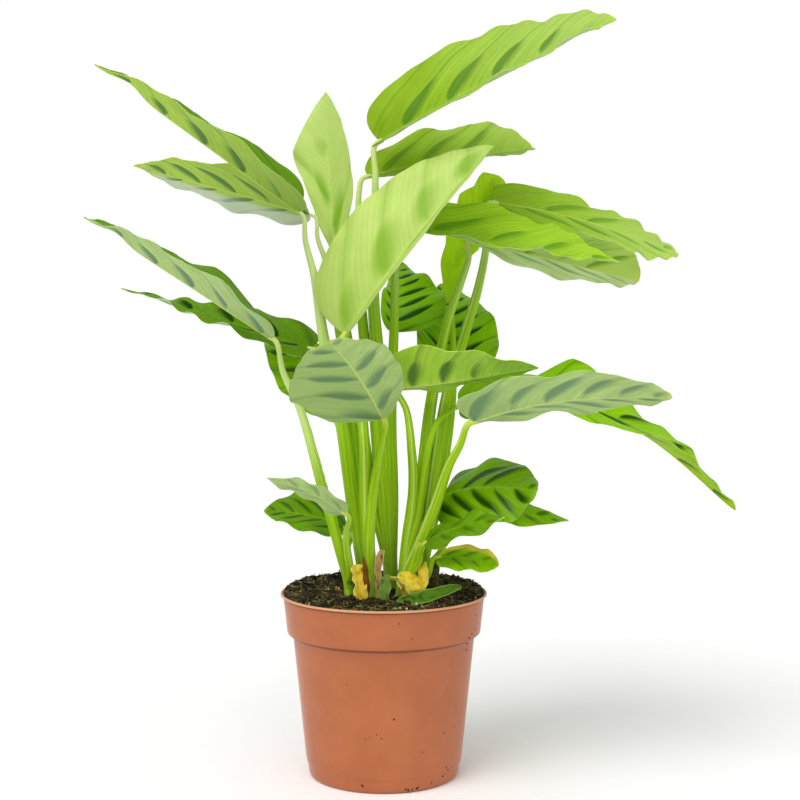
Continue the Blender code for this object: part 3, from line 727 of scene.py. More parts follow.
def tube_mesh(name, routes, sides):
    """One mesh of round closed tubes; each route is a list of (place, radius)."""
    points, faces = [], []
    for route in routes:
        start = len(points)
        for i, (place, radius) in enumerate(route):
            before = Vector(route[max(0, i - 1)][0])
            after = Vector(route[min(len(route) - 1, i + 1)][0])
            along = (after - before).normalized()
            across = along.cross(Vector((0.31, 0.2, 0.93))).normalized()
            up = across.cross(along)
            for k in range(sides):
                turn = 2 * math.pi * k / sides
                points.append(Vector(place) + (across * math.cos(turn) + up * math.sin(turn)) * radius)
        for i in range(len(route) - 1):
            for k in range(sides):
                a, b = start + i * sides + k, start + i * sides + (k + 1) % sides
                faces.append((a, a + sides, b + sides, b))
        last = start + (len(route) - 1) * sides
        faces.append(tuple(start + k for k in range(sides)))
        faces.append(tuple(last + k for k in reversed(range(sides))))
    mesh = bpy.data.meshes.new(name)
    mesh.from_pydata([tuple(point) for point in points], [], faces)
    mesh.update()
    obj = bpy.data.objects.new(name, mesh)
    scene.collection.objects.link(obj)
    return obj


def fibre(length, radius):
    """A thin root that wanders over the soil and dips into it at both ends."""
    x, y = soil_spot(0.056)
    heading = rng.uniform(0, 2 * math.pi)
    bend = rng.uniform(-0.45, 0.45)
    lift = rng.uniform(0.0002, 0.0016)
    route = []
    step = length / (FIBRE_POINTS - 1)
    for i in range(FIBRE_POINTS):
        share = i / (FIBRE_POINTS - 1)
        if math.hypot(x, y) > FIBRE_LIMIT:
            break
        height = soil_height(x, y) + lift * math.sin(math.pi * share) - 0.0002
        route.append(((x, y, height), radius * (1 - 0.5 * share)))
        heading += bend * rng.uniform(0.1, 0.9)
        x += step * math.cos(heading)
        y += step * math.sin(heading)
    return route


routes = [fibre(rng.uniform(*FIBRE_LENGTHS), rng.uniform(*FIBRE_RADII)) for i in range(FIBRES)]
routes = [route for route in routes if len(route) > 3]
fibres = tube_mesh("root_fibres", routes, 5)
root = Finish("root_fibre", 0.8, 0.3)
pale = root.noise(root.place(), 160.0, 2.0)
root.colour(root.blend(pale.rise(0.35, 0.7), paint(84, 78, 38), paint(178, 160, 106)))
fibres.data.materials.append(root.material)
belongs(fibres, "soil")
print("fibres:", len(routes))

# %% [markdown]
# ## One leaf blade
# A calathea leaf is a thin oval sheet on a pale rib. Its two halves fold up from the rib, curl back at the
# margin and ripple. A cloth simulation could fold it, but then no leaf would land where it stands on the
# plant. So each blade is a flat grid of rows and columns that one formula carries onto the leaf's form, the
# same formula that shaped the solid in the frame, with finer ripples added.

# %% The blade's formula
UP = np.array((0.0, 0.0, 1.0))
# where along the blade its hook is highest, and how far the hook reaches, as shares of the length
HOOK_PLACE = 0.87
HOOK_SPREAD = 0.08
# in metres: the least that half a blade is wide, and the half width from which it folds fully
LEAST_HALF = 0.0004
FOLDED_HALF = 0.003
# in radians: the least curl, which is flat to the eye and still lets the formula divide by it
LEAST_CURL = 0.001


def leaf_form(base, tip, width, roll=0, twist=0, arch=8, sweep=0, crest=0.45, fold=(12, 12), cup=(10, 10),
              wave=1.5, waves=3.0, phase=0.0, widest=0.42, blunt=0.55, lobe=5, sides=(1.0, 1.0), edges=None,
              hook=0.0):
    """One blade from its base to its tip, in millimetres and degrees, kept in metres and radians.

    roll turns it about its length and twist adds to that towards the tip. arch and sweep bow the midrib
    upwards and sideways, most of all at crest, a share of the length. fold is how far each half is folded
    up from the rib and cup how far it curls back. wave, waves and phase ripple the margin. widest is where
    the blade is widest, blunt how quickly it gets there, lobe how far its foot reaches back, and sides are
    shares of the width on the left and on the right. edges are more such shares, from the base to the
    tip, and hook is how far the midrib rises just before the tip.
    """
    return dict(
        base=np.array(base) * MM, tip=np.array(tip) * MM, half=width * MM / 2,
        roll=math.radians(roll), twist=math.radians(twist), arch=arch * MM, sweep=sweep * MM, crest=crest,
        fold=[math.radians(a) for a in fold], cup=[math.radians(a) for a in cup],
        wave=wave * MM, waves=waves, phase=phase, widest=widest, blunt=blunt, lobe=lobe * MM, sides=sides,
        edges=edges, hook=hook * MM,
    )


def unit(vectors):
    """The same directions, each with the length 1."""
    return vectors / np.linalg.norm(vectors, axis=-1, keepdims=True)


def rib_frame(form, u):
    """Places on the midrib, and there the directions along it, across the blade and out of its top."""
    chord = form["tip"] - form["base"]
    forward = unit(chord)
    right = unit(np.cross(forward, UP))
    above = np.cross(right, forward)
    mean = form["roll"] + form["twist"] / 2
    bow = (above * math.cos(mean) + right * math.sin(mean)) * form["arch"]
    bow = bow + (right * math.cos(mean) - above * math.sin(mean)) * form["sweep"]

    def rib(place):
        power = (1 - form["crest"]) / form["crest"]
        rise = place * (1 - place) ** power / (form["crest"] * (1 - form["crest"]) ** power)
        bend = form["hook"] * np.exp(-(((place - HOOK_PLACE) / HOOK_SPREAD) ** 2))
        bend = bend * (1 - place) / (1 - HOOK_PLACE)
        return form["base"] + chord * place[:, None] + bow * rise[:, None] + above * bend[:, None]

    along = unit(rib(np.minimum(1.0, u + 0.01)) - rib(np.maximum(0.0, u - 0.01)))
    roll = (form["roll"] + form["twist"] * u)[:, None]
    across = unit(np.cross(along, above * np.cos(roll) + right * np.sin(roll)))
    return rib(u), along, across, np.cross(across, along)


def half_width(form, u):
    """The share of its full width that the blade has at u, and how far each half reaches from the rib."""
    fore = form["blunt"]
    aft = fore * (1 - form["widest"]) / form["widest"]
    share = u**fore * (1 - u) ** aft / (form["widest"] ** fore * (1 - form["widest"]) ** aft)
    return share, np.maximum(form["half"] * share, LEAST_HALF)


def blade_points(form, u, v):
    """Places on the blade and the way out of its top; u runs 0 to 1 along it and v runs -1 to 1 across it."""
    rib, along, across, normal = rib_frame(form, u)
    share, half = half_width(form, u)
    which = (v >= 0).astype(int)
    margin = np.abs(v)
    fold = np.array(form["fold"])[which] * np.minimum(1.0, half / FOLDED_HALF)
    cup = np.array(form["cup"])[which]
    cup = np.where(np.abs(cup) < LEAST_CURL, LEAST_CURL, cup)
    reach = half * np.array(form["sides"])[which]
    if form["edges"]:
        left, right = [np.interp(u, np.linspace(0, 1, len(edge)), edge) for edge in form["edges"]]
        reach = reach * np.where(which == 1, right, left)
    end = fold - 2 * cup * margin
    out = reach * (np.sin(fold) - np.sin(end)) / (2 * cup)
    up = reach * (np.cos(end) - np.cos(fold)) / (2 * cup)
    ripple = np.sin(2 * math.pi * form["waves"] * u + form["phase"] + 2.1 * which)
    up = up + form["wave"] * margin**2 * ripple * np.sqrt(np.sin(math.pi * u).clip(0))
    back = form["lobe"] * margin**2 * (1 - u) ** 3 * share
    places = rib + across * (np.sign(v) * out)[:, None] + normal * up[:, None] - along * back[:, None]
    return places, normal


print("blade formula ready")

# %% [markdown]
# ## The leaves' places
# Each entry is one leaf, by where it stands on the plant: base, tip and width in millimetres, then how far
# the blade rolls, arches, folds and curls. Leaves could be dragged into place one by one, but a table shows
# all of them at once and can be changed by a number. The numbers start from those of the solids. Only
# the edges and the hooks are added here, to trim the margins and bend the tips, and the lobe of the front
# right leaf, the wave of the yellowing one and a side of the dark right one differ a little.

# %% Leaf table
LEAVES = {
    "leaf_top_right": leaf_form(
        (-2, 15, 368), (131, -12, 433), 70, roll=52, twist=-4, arch=3.5, sweep=1.5, crest=0.42,
        fold=(26, 44), cup=(10, 5), waves=3.5, widest=0.42, blunt=0.45, lobe=19, sides=(1.0, 0.78),
        hook=1.5, edges=((1.15, 1.06, 1, 1, 0.9, 0.85, 0.8), (1, 1, 1, 1, 0.85, 0.6, 0.5)),
    ),
    "leaf_second_right": leaf_form(
        (-9, 30, 349), (91, 62, 369), 54, roll=45, arch=2, fold=(18, 43), cup=(12, 5), widest=0.5,
        blunt=0.5, lobe=9, edges=((0.9, 0.95, 1, 1, 1, 1.25, 1.4), (1, 1)),
    ),
    "leaf_upright_back": leaf_form(
        (-29, 34, 299), (-36, 60, 403), 42, roll=-4, arch=-4, fold=(0, 60), cup=(10, 0), wave=0.8,
        widest=0.55, blunt=1.2, lobe=0, sides=(1.08, 0.94),
        edges=((0.6, 0.62, 0.6, 0.74, 1.02, 0.9, 0.9), (1.4, 1.4, 1.28, 1.05, 0.95, 1, 1)),
    ),
    "leaf_large_centre": leaf_form(
        (-21, -25, 256), (62, -15, 362), 76, roll=70, arch=6, sweep=-1, crest=0.5, fold=(-4, 70),
        cup=(12, 0), widest=0.4, blunt=0.5, lobe=6, sides=(1.16, 0.72),
        edges=((1.35, 1.09, 1, 1, 1, 1, 1), (1, 1)),
    ),
    "leaf_top_left": leaf_form(
        (-49, -4, 326), (-154, -54, 401), 54, roll=-10, twist=15, arch=0, fold=(25, 55), widest=0.32,
        blunt=0.37, hook=3, edges=((1, 1, 1, 1, 0.9, 0.6, 0.4), (1.4, 1.15, 0.95, 0.92, 0.9, 0.6, 0.4)),
    ),
    "leaf_upper_left": leaf_form(
        (-44, 24, 326), (-153, 56, 358), 50, roll=35, arch=1, fold=(10, 12), widest=0.4, sides=(1.0, 0.82),
        edges=((1, 1, 1, 1, 1, 0.95, 0.9), (1, 1, 1, 0.95, 0.88, 0.75, 0.7)),
    ),
    "leaf_middle_left": leaf_form(
        (-64, -15, 254), (-159, -62, 319), 54, roll=-6, twist=8, arch=0, fold=(24, 41), hook=2.5,
        edges=((1, 1, 1, 1, 0.9, 0.6, 0.5), (1.35, 1.5, 1.45, 1.12, 0.92, 0.7, 0.5)),
    ),
    "leaf_narrow_left": leaf_form(
        (-44, 22, 247), (-158, 38, 283), 44, roll=-32, twist=32, arch=0, fold=(18, 24), widest=0.25,
        blunt=0.45, lobe=12, sides=(0.75, 1.2), hook=1,
        edges=((1, 0.95, 0.85, 0.85, 0.85, 0.9, 0.9), (0.7, 0.72, 0.72, 0.75, 0.8, 0.9, 0.9)),
    ),
    "leaf_inner_left": leaf_form(
        (-22, 32, 213), (-74, 54, 254), 45, roll=-40, arch=4, fold=(8, 8), widest=0.34, blunt=0.5,
        sides=(1.1, 1.0),
    ),
    "leaf_front_left": leaf_form(
        (0, -25, 209), (-26, -120, 254), 62, roll=12, twist=10, arch=6, fold=(5, 5), widest=0.56, blunt=0.6,
        lobe=4, sides=(0.78, 1.05), edges=((0.8, 0.9, 1, 1, 1, 1, 1), (1.7, 1.4, 1.3, 1.2, 1, 0.92, 0.9)),
    ),
    "leaf_front_centre": leaf_form(
        (11, -15, 226), (86, -36, 238), 54, roll=-30, arch=-1, fold=(31, 22), widest=0.35, blunt=0.42,
        lobe=15, sides=(1.0, 1.18),
        edges=((1, 1, 1, 1, 0.9, 0.8, 0.7), (1.25, 1.1, 0.98, 0.87, 0.74, 0.65, 0.6)),
    ),
    "leaf_front_right": leaf_form(
        (51, -37, 208), (155, -64, 223), 50, roll=-18, twist=-20, arch=6, fold=(16, 18), widest=0.45,
        blunt=0.37, lobe=17, sides=(0.82, 1.02),
        edges=((0.9, 1, 1.05, 1.1, 0.97, 0.7, 0.5), (2.3, 1.6, 1.2, 1.05, 0.95, 0.84, 0.55)),
    ),
    "leaf_drooping_right": leaf_form(
        (46, 10, 214), (206, 8, 153), 48, roll=55, twist=-60, arch=28, crest=0.44, fold=(30, 30), wave=3,
        waves=2.5, phase=1.57, blunt=0.45, lobe=16,
        edges=((1, 1, 0.8, 0.75, 1.3, 0.95, 0.8, 0.8, 0.9, 1, 1, 1.1, 1.3), (1, 1)),
    ),
    "leaf_upper_right": leaf_form(
        (67, 42, 334), (183, 74, 305), 50, roll=28, arch=4, fold=(22, 2), widest=0.41, blunt=0.4, lobe=8,
        sides=(1.06, 1.0), edges=((1.15, 1.1, 1.02, 0.85, 0.95, 0.85, 1.2), (1, 1)),
    ),
    "leaf_right_centre": leaf_form(
        (7, 2, 321), (135, -6, 297), 48, roll=32, arch=-3, fold=(44, 28), cup=(10, 0), widest=0.38,
        blunt=0.6, sides=(1.0, 0.8),
    ),
    "leaf_right_under": leaf_form(
        (53, 26, 310), (150, 20, 287), 44, roll=-35, arch=1, fold=(20, 16), widest=0.6, blunt=0.7, lobe=2,
        sides=(0.88, 1.1), edges=((1, 1.1, 1.2, 1.1, 0.95, 0.85, 0.8), (1, 1, 1, 1, 1.1, 1.3, 1.4)),
    ),
    "leaf_rolled_right": leaf_form(
        (40, 34, 274), (74, 70, 350), 20, roll=75, arch=0, sweep=-13, crest=0.5, fold=(15, 15), widest=0.5,
        blunt=0.45, lobe=0,
        edges=((1, 1, 1, 0.9, 1.3, 0.8, 1.5, 1.2, 1.9, 1.4), (1, 1, 1, 1.1, 1.6, 1.2, 2.0, 1.4, 2.2, 1.5)),
    ),
    "leaf_dark_centre": leaf_form(
        (7, 32, 257), (9, 78, 302), 48, arch=6, widest=0.28, lobe=3, sides=(0.4, 1.25),
    ),
    "leaf_dark_right": leaf_form(
        (37, 30, 225), (36, 90, 287), 66, roll=5, arch=6, sides=(0.55, 1.0),
    ),
    "leaf_low_right": leaf_form(
        (31, -3, 160), (86, -32, 169), 59, roll=34, arch=6, fold=(2, -10), widest=0.47, blunt=0.45, lobe=6,
        sides=(1.08, 0.86), edges=((1.2, 1.12, 1.05, 1, 0.97, 0.92, 0.9), (1, 1, 1, 1, 1, 1.1, 1.2)),
    ),
    "leaf_low_right_front": leaf_form(
        (24, -34, 140), (66, -60, 158), 19, roll=42, arch=3, wave=2, waves=2, fold=(6, 6),
    ),
    "leaf_low_right_back": leaf_form(
        (39, 8, 149), (107, -2, 148), 22, roll=32, arch=4, wave=2, waves=2,
    ),
    "leaf_yellowing_right": leaf_form(
        (32, -24, 130), (64, -40, 128), 22, roll=30, arch=2, wave=0.8,
        edges=((1, 1, 1, 1.05, 1.1, 1.3, 1.8), (0.9, 0.95, 1, 1, 1, 1.2, 1.8)),
    ),
    "leaf_low_left_curled": leaf_form(
        (-22, -36, 157), (-63, -50, 178), 26, roll=22, arch=3,
    ),
    "leaf_low_left": leaf_form(
        (-23, 8, 142), (-70, 4, 153), 40, roll=-42, arch=4, fold=(26, 8), sides=(0.8, 1.0),
    ),
}
print(len(LEAVES), "leaves")

# %% [markdown]
# ## Leaf finishes
# Seen from above a leaf is bright yellow-green, with soft dark green lens-shaped patches that slant forward
# from the rib, one after another on both halves. Fine veins follow the same slant. The underside is greyer
# and shows the patches as blue-grey washes. Painting them by hand would fix one leaf only, so two maps do it:
# one runs straight along and across the blade, the other follows the veins.

# %% Leaf finish
# how far apart the side veins and the fine ones between them are, in millimetres
VEIN_SPACING = 5.2
FINE_VEIN_SPACING = 1.3


def on_half(right, half):
    """1 on one half of the blade and 0 on the other; half is 1 for the right one and 0 for the left."""
    return right if half else right.flip()


def leaf_finish(name, shade, spots, shift, length, roughness, shine=0.10, strength=1.0, width=0.17,
                reach=(0.0, 0.74), haze=0.0, calm=1.0, until=1.0, wash=0.0, silver=None, yellow=None,
                other=None):
    """A blade's finish, for a blade of this length in millimetres.

    spots is how many dark marks a half has, and shift moves them along it. strength is how dark they are,
    width how long they are along the blade, reach from where to where they lie across it, haze how soft
    their edges are, and until how far along the blade they go. calm is how much of the streaks, the
    swellings and the relief shows, and wash how much the blade pales towards its tip. silver is a half and
    the place across it from where it is silvery, yellow the same for a yellowing margin, and other a half
    with a green and marks of its own.
    """
    green, patch, rib, tip = shade
    finish = Finish(name, roughness, shine)
    along, across = finish.map("blade")
    origin = finish.map("veins")[0]
    margin = abs(across * 2.0 - 1.0)
    right = across.rise(0.499, 0.501)

    # the dark marks: one in each whole step of the row, of a size and strength drawn by its number
    row = origin * spots + shift + right * 0.5
    luck = finish.chance(row.math("FLOOR") + right * 31.0, shift + spots)
    low, high = reach
    middle, stretch = (low + high) / 2, (high - low) / 2
    place = abs((margin - middle) / (luck * 0.34 + 0.76) / stretch)
    full = (place ** 2.0).flip().math("MAXIMUM", 0.0) ** 0.9 * (luck * 0.5 + 0.7) * width
    cloud = finish.noise(finish.vector(origin * 16.0, across * 5.0, shift), 2.0, 4.0)
    beside = row.math("FRACT") - 0.5
    soft = beside.rise(-0.06, 0.06) * 0.13 + 0.035 + haze
    inside = full + (cloud - 0.5) * 0.07 - abs(beside)
    fading = along.rise(until + 0.08, until - 0.12)
    mark = inside.rise(soft * -1.0, soft) * luck.rise(0.01, 0.09) * fading * strength

    # the veins and the unevenness of the green
    veins = origin.waves(length / VEIN_SPACING)
    fine = origin.waves(length / FINE_VEIN_SPACING)
    uneven = finish.noise(finish.place(), 60.0, 3.0)
    streaks = finish.noise(finish.vector(origin * 40.0, across * 2.0, shift), 2.0, 1.0)
    broad = finish.noise(finish.vector(origin * 9.0, across * 1.6, shift + 3.0), 2.0, 2.0)
    lit = tuple(min(1.0, c * 1.35 + 0.01) for c in green)
    base = finish.blend(broad.rise(0.35, 0.65) * 0.45 * calm, green, darker(green, 0.74))
    base = finish.blend(streaks.rise(0.40, 0.75) * 0.28 * calm, base, lit)
    base = finish.blend(uneven.rise(0.35, 0.75) * 0.20, base, darker(green, 0.7))
    base = finish.blend(fine * 0.03 + veins ** 14.0 * 0.14, base, darker(green, 0.45))
    base = finish.blend(along.rise(0.4, 0.0) * 0.4, base, darker(green, 0.6))

    # what this leaf alone has, with the marks between, and last the rib and the dry tip
    if wash:
        base = finish.blend(along.rise(0.15, 0.95) * wash, base, WASHED)
    if other:
        half, green_there, patch_there = other
        where = on_half(right, half)
        base = finish.blend(where * 0.9, base, green_there)
        patch = finish.blend(where, patch, patch_there)
    base = finish.blend(mark, base, patch)
    if silver:
        half, start = silver
        sheen = margin.rise(start - 0.16, start + 0.16) * on_half(right, half) * along.rise(0.97, 0.80)
        base = finish.blend(sheen * 0.85, base, finish.blend(mark, SILVERY, SILVERY_MARK))
    if yellow:
        half, start = yellow
        old = (margin + (cloud - 0.5) * 0.6).rise(start, start + 0.35) * on_half(right, half)
        base = finish.blend(old * 0.9, base, YELLOWED)
    rib_width = along * -0.030 + 0.042
    on_rib = margin.rise(rib_width, rib_width * 0.35)
    base = finish.blend(on_rib * 0.85, base, rib)
    base = finish.blend(along.rise(0.95, 1.0) * 0.7, base, tip)
    finish.colour(base)
    finish.roughness((uneven - 0.5) * 0.16 + roughness - mark * 0.06)
    finish.bump(veins ** 6.0 * -0.4 + uneven + broad * 2.0, 0.0003 * calm)
    return finish.material


print("leaf finish ready")

# %% [markdown]
# ## Shades of leaf
# Young leaves are lime and old ones deep green. The glow of light through a blade from behind is painted
# into the pale greens of the leaves that have it, and leaves in the shade of others get greens painted paler
# to lift that shade. Each of the fifty faces could get a material drawn by hand, but a small change would
# then be made fifty times. So every leaf names a shade for its top and one for its underside, and says how
# its marks differ from the usual ones.

# %% Shades of leaf
# each shade: the blade's green, its dark marks, its rib and its tip
WASHED = paint(186, 212, 122)
SILVERY = paint(206, 216, 196)
SILVERY_MARK = paint(160, 176, 160)
YELLOWED = paint(232, 206, 76)
BRIGHT = (paint(162, 206, 22), paint(74, 126, 6), paint(196, 220, 90), paint(170, 200, 40))
OLIVE = (paint(144, 184, 22), paint(70, 120, 10), paint(196, 220, 90), paint(170, 200, 40))
FRESH = (paint(158, 203, 26), paint(96, 150, 16), paint(204, 226, 100), paint(180, 210, 40))
MILKY = (paint(188, 213, 108), paint(118, 166, 14), paint(188, 214, 92), paint(170, 200, 70))
# DARK is the deep green of older leaves, painted brighter as well to lift the shade of the leaves in front
DARK = (paint(138, 194, 0), paint(28, 72, 0), paint(168, 208, 50), paint(170, 196, 40))
DEEP = (paint(116, 166, 0), paint(28, 66, 0), paint(130, 172, 36), paint(150, 180, 40))
GLOSSY = (paint(104, 152, 4), paint(24, 60, 0), paint(150, 196, 40), paint(160, 190, 40))
LIME = (paint(186, 232, 16), paint(136, 192, 8), paint(200, 226, 80), paint(190, 220, 60))
# painted light: SHADED and SHADY_GREY are undersides in the shade of other leaves, painted paler to lift that
# shade, and BACKLIT paints the glow of light through a blade from behind
SHADED = (paint(190, 230, 76), paint(94, 134, 54), paint(196, 216, 104), paint(200, 214, 80))
BACKLIT = (paint(178, 212, 84), paint(96, 134, 62), paint(204, 222, 116), paint(200, 214, 80))
GREY = (paint(176, 205, 126), paint(108, 140, 100), paint(196, 218, 118), paint(190, 208, 100))
SHADY_GREY = (paint(214, 236, 160), paint(140, 172, 122), paint(208, 228, 130), paint(206, 216, 90))
SILVER = (paint(180, 200, 154), paint(122, 146, 120), paint(206, 218, 160), paint(190, 204, 80))

# name: (top shade, underside shade, spots, shift, length in mm, roughness, ripple in mm, slant, more)
DRESS = {
    "leaf_top_right": (OLIVE, GREY, 5.3, 0.86, 136, 0.42, 1.1, 1.7,
                       dict(wash=0.45, reach=(0.0, 0.55), width=0.2, strength=0.8)),
    "leaf_second_right": (OLIVE, SILVER, 4.4, 0.1, 108, 0.42, 0.8, 1.6,
                          dict(strength=0.6, haze=0.04, wash=0.3)),
    "leaf_upright_back": (MILKY, GREY, 3.2, 0.3, 108, 0.40, 0.6, 1.5,
                          dict(strength=0.85, until=0.7, width=0.26, haze=0.12, calm=0.5, reach=(0.0, 0.6),
                               wash=0.6)),
    "leaf_large_centre": (MILKY, GREY, 3.7, 0.35, 136, 0.44, 0.7, 1.3,
                          dict(strength=0.8, width=0.24, haze=0.14, calm=0.5, reach=(0.0, 0.5), wash=0.25)),
    "leaf_top_left": (GLOSSY, BACKLIT, 5.2, 0.0, 140, 0.44, 0.4, 1.5, dict(reach=(0.0, 0.5))),
    "leaf_upper_left": (BRIGHT, BACKLIT, 5.0, 0.4, 118, 0.44, 0.6, 1.5, dict(silver=(1, 0.42))),
    "leaf_middle_left": (GLOSSY, GREY, 5.2, 0.2, 124, 0.44, 0.6, 1.5, dict(reach=(0.0, 0.55))),
    "leaf_narrow_left": (GLOSSY, GREY, 4.4, 0.2, 120, 0.36, 1.7, 1.2, {}),
    "leaf_inner_left": (DARK, GREY, 4.0, 0.6, 70, 0.30, 2.2, 1.0, dict(strength=0.85)),
    "leaf_front_left": (BRIGHT, GREY, 4.8, 0.0, 110, 0.46, 0.7, 1.0,
                        dict(strength=0.9, width=0.23, haze=0.06,
                             other=(1, paint(160, 188, 114), paint(98, 130, 90)))),
    "leaf_front_centre": (BRIGHT, SHADED, 4.4, 0.65, 80, 0.44, 0.5, 0.7,
                          dict(haze=0.04, reach=(0.0, 0.6), until=0.6, wash=0.4)),
    "leaf_front_right": (BRIGHT, GREY, 5.4, 0.0, 110, 0.46, 0.7, 1.3,
                         dict(strength=0.9, width=0.24, haze=0.06, reach=(0.05, 0.8))),
    "leaf_drooping_right": (DARK, BRIGHT, 6.2, 0.4, 175, 0.40, 1.0, 1.3, {}),
    "leaf_upper_right": (FRESH, GREY, 4.6, 0.3, 124, 0.42, 1.4, 2.2,
                         dict(wash=0.5, strength=0.75, reach=(0.0, 0.6))),
    "leaf_right_centre": (FRESH, GREY, 4.2, -0.25, 132, 0.42, 1.0, 2.2,
                          dict(wash=0.1, strength=0.85, reach=(0.0, 0.6))),
    "leaf_right_under": (BRIGHT, SHADY_GREY, 5.4, 0.3, 100, 0.44, 1.0, 2.0,
                         dict(haze=0.05, other=(1, paint(180, 212, 92), paint(120, 162, 40)))),
    "leaf_rolled_right": (LIME, LIME, 2.4, 0.3, 80, 0.42, 0.6, 1.2, dict(strength=0.5)),
    "leaf_dark_centre": (DARK, GREY, 7.6, 0.2, 70, 0.36, 1.2, 0.6, dict(width=0.22)),
    "leaf_dark_right": (DARK, GREY, 7.6, 0.5, 88, 0.36, 1.2, 0.7, dict(width=0.2)),
    "leaf_low_right": (DEEP, GREY, 4.8, 0.1, 66, 0.28, 1.2, 1.0,
                       dict(shine=0.14, reach=(0.0, 0.85), haze=0.09, width=0.24)),
    "leaf_low_right_front": (GLOSSY, GREY, 3.4, 0.2, 50, 0.34, 1.4, 1.2, dict(strength=0.45, haze=0.05)),
    "leaf_low_right_back": (DARK, GREY, 4.4, 0.2, 70, 0.34, 1.2, 1.2, dict(strength=0.7, haze=0.04)),
    "leaf_yellowing_right": (DARK, GREY, 3.2, 0.2, 36, 0.38, 0.4, 1.2,
                             dict(strength=0.5, yellow=(0, 0.45))),
    "leaf_low_left_curled": (DARK, GREY, 3.4, 0.3, 48, 0.45, 1.0, 1.3, dict(strength=0.6, haze=0.05)),
    "leaf_low_left": (GLOSSY, GREY, 4.4, 0.2, 50, 0.38, 0.8, 1.3, dict(strength=0.8, haze=0.05)),
}
print("shades for", len(DRESS), "leaves")

# %% [markdown]
# ## Making the blades
# On the plant a blade is a sheet of a few tenths of a millimetre on a rib of nearly two. A solid block
# could be sculpted thin, but its faces would be hard to keep even. So each blade is a flat grid that the
# formula bends, with its maps written while it is still one sheet. Solidify then gives it two faces, with
# the underside's finish on the lower one, and a vertex group makes it thickest at the rib.

# %% Blades
ROWS, COLUMNS = 96, 36
# in metres: the thickness and the radius of the rib
RIB_THICKNESS = 0.0019
RIB_RADIUS = 0.0008
# the sheet beside the rib, and what it loses up to the margin, as shares of the rib's thickness
SHEET_SHARE = 0.26
MARGIN_LOSS = 0.08
# the unevenness of the sheet, in metres: how long its pleats, swellings and buckles are, and how high
PLEAT_LENGTH = 0.0085
PLEAT_HEIGHT = 0.00010
SWELLING_LENGTH = 0.026
BUCKLE_LENGTH = 0.011
BUCKLE_HEIGHT = 0.0007
UNDER_ROUGHNESS = 0.5
UNDER_SHINE = 0.1


def make_blade(name, form, faces, seed, ripple, slant):
    """A grid carried onto the form and thickened; faces are the materials of its top and underside."""
    nothing_selected()
    bpy.ops.mesh.primitive_grid_add(x_subdivisions=COLUMNS, y_subdivisions=ROWS, size=2.0)
    blade = bpy.context.object
    blade.name = name
    flat = points_of(blade)
    v = np.sign(flat[:, 0]) * np.abs(flat[:, 0]) ** 1.35
    u = (0.5 - 0.5 * np.cos(math.pi * (flat[:, 1] + 1) / 2)).clip(0.0, 1.0)
    places, normal = blade_points(form, u, v)
    half = half_width(form, u)[1]
    size = np.linalg.norm(form["tip"] - form["base"])
    origin = u - slant * half * np.abs(v) ** 1.25 / size

    start = Vector((seed, 0, 0))
    buckle = np.array([noise.noise(Vector(p) / BUCKLE_LENGTH + start) for p in places])
    pleat = np.sin(2 * math.pi * origin * size / PLEAT_LENGTH + seed)
    swelling = np.sin(2 * math.pi * origin * size / SWELLING_LENGTH + seed + 2.0 * (v > 0))
    swelling = swelling * np.minimum(1, half / 0.012)
    relief = BUCKLE_HEIGHT * buckle * np.abs(v)
    relief = relief + PLEAT_HEIGHT * pleat * np.abs(v) * np.minimum(1, half / 0.01)
    relief = relief + ripple * MM * swelling * np.abs(v) ** 1.3
    move_points(blade, places + normal * relief[:, None])

    corners = corner_points(blade)
    across = ((v + 1) / 2)[corners]
    write_maps(blade, {"blade": (u[corners], across), "veins": (origin[corners], across)})

    rib_share = np.exp(-((np.abs(v) * half / RIB_RADIUS) ** 2)) * (1 - 0.75 * u)
    weights = SHEET_SHARE + (1 - SHEET_SHARE) * rib_share - MARGIN_LOSS * np.abs(v)
    group = blade.vertex_groups.new(name="body")
    for index, weight in enumerate(weights):
        group.add([index], float(weight), "REPLACE")
    for material in faces:
        blade.data.materials.append(material)
    body = blade.modifiers.new("Body", "SOLIDIFY")
    body.thickness = RIB_THICKNESS
    body.offset = 0.0
    body.vertex_group = "body"
    body.material_offset = 1
    body.material_offset_rim = 1
    apply_all(blade)
    blade.vertex_groups.clear()
    smooth(blade)
    return blade


for number, (name, form) in enumerate(LEAVES.items()):
    top, under, spots, shift, length, roughness, ripple, slant, more = DRESS[name]
    plain = name.replace("leaf_", "blade_")
    less_shiny = {**more, "shine": UNDER_SHINE}
    pair = [
        leaf_finish(plain + "_top", top, spots, shift, length, roughness, **more),
        leaf_finish(plain + "_under", under, spots, shift, length, UNDER_ROUGHNESS, **less_shiny),
    ]
    blade = make_blade(plain, form, pair, number, ripple, slant)
    belongs(blade, "leaf_blade", name)
print("blades:", len(LEAVES), "each of", len(blade.data.polygons), "faces")

# %% [markdown]
# ## Stalks
# Below its blade each stalk is a thin round cane with a swollen yellowish joint. Lower down it widens into a
# flat sheath that wraps the younger stalks, so the foot of the plant is a tight clump. A curve with a bevel
# gives only a round section, so each stalk is a sphere's rings laid along the stalk's path: closed ends, even
# faces, and a section that can change from round to ribbed and wrapped on the way down.

# %% Stalk routes
# where each shoot stands in the soil, to the right and to the back, in millimetres
SHOOT_FEET = {
    "shoot_left": (-20, -10), "shoot_back_left": (-11, 4), "shoot_front_left": (-7, -13),
    "shoot_back_centre": (4, 8), "shoot_front_right": (11, -11), "shoot_back_right": (18, 3),
}
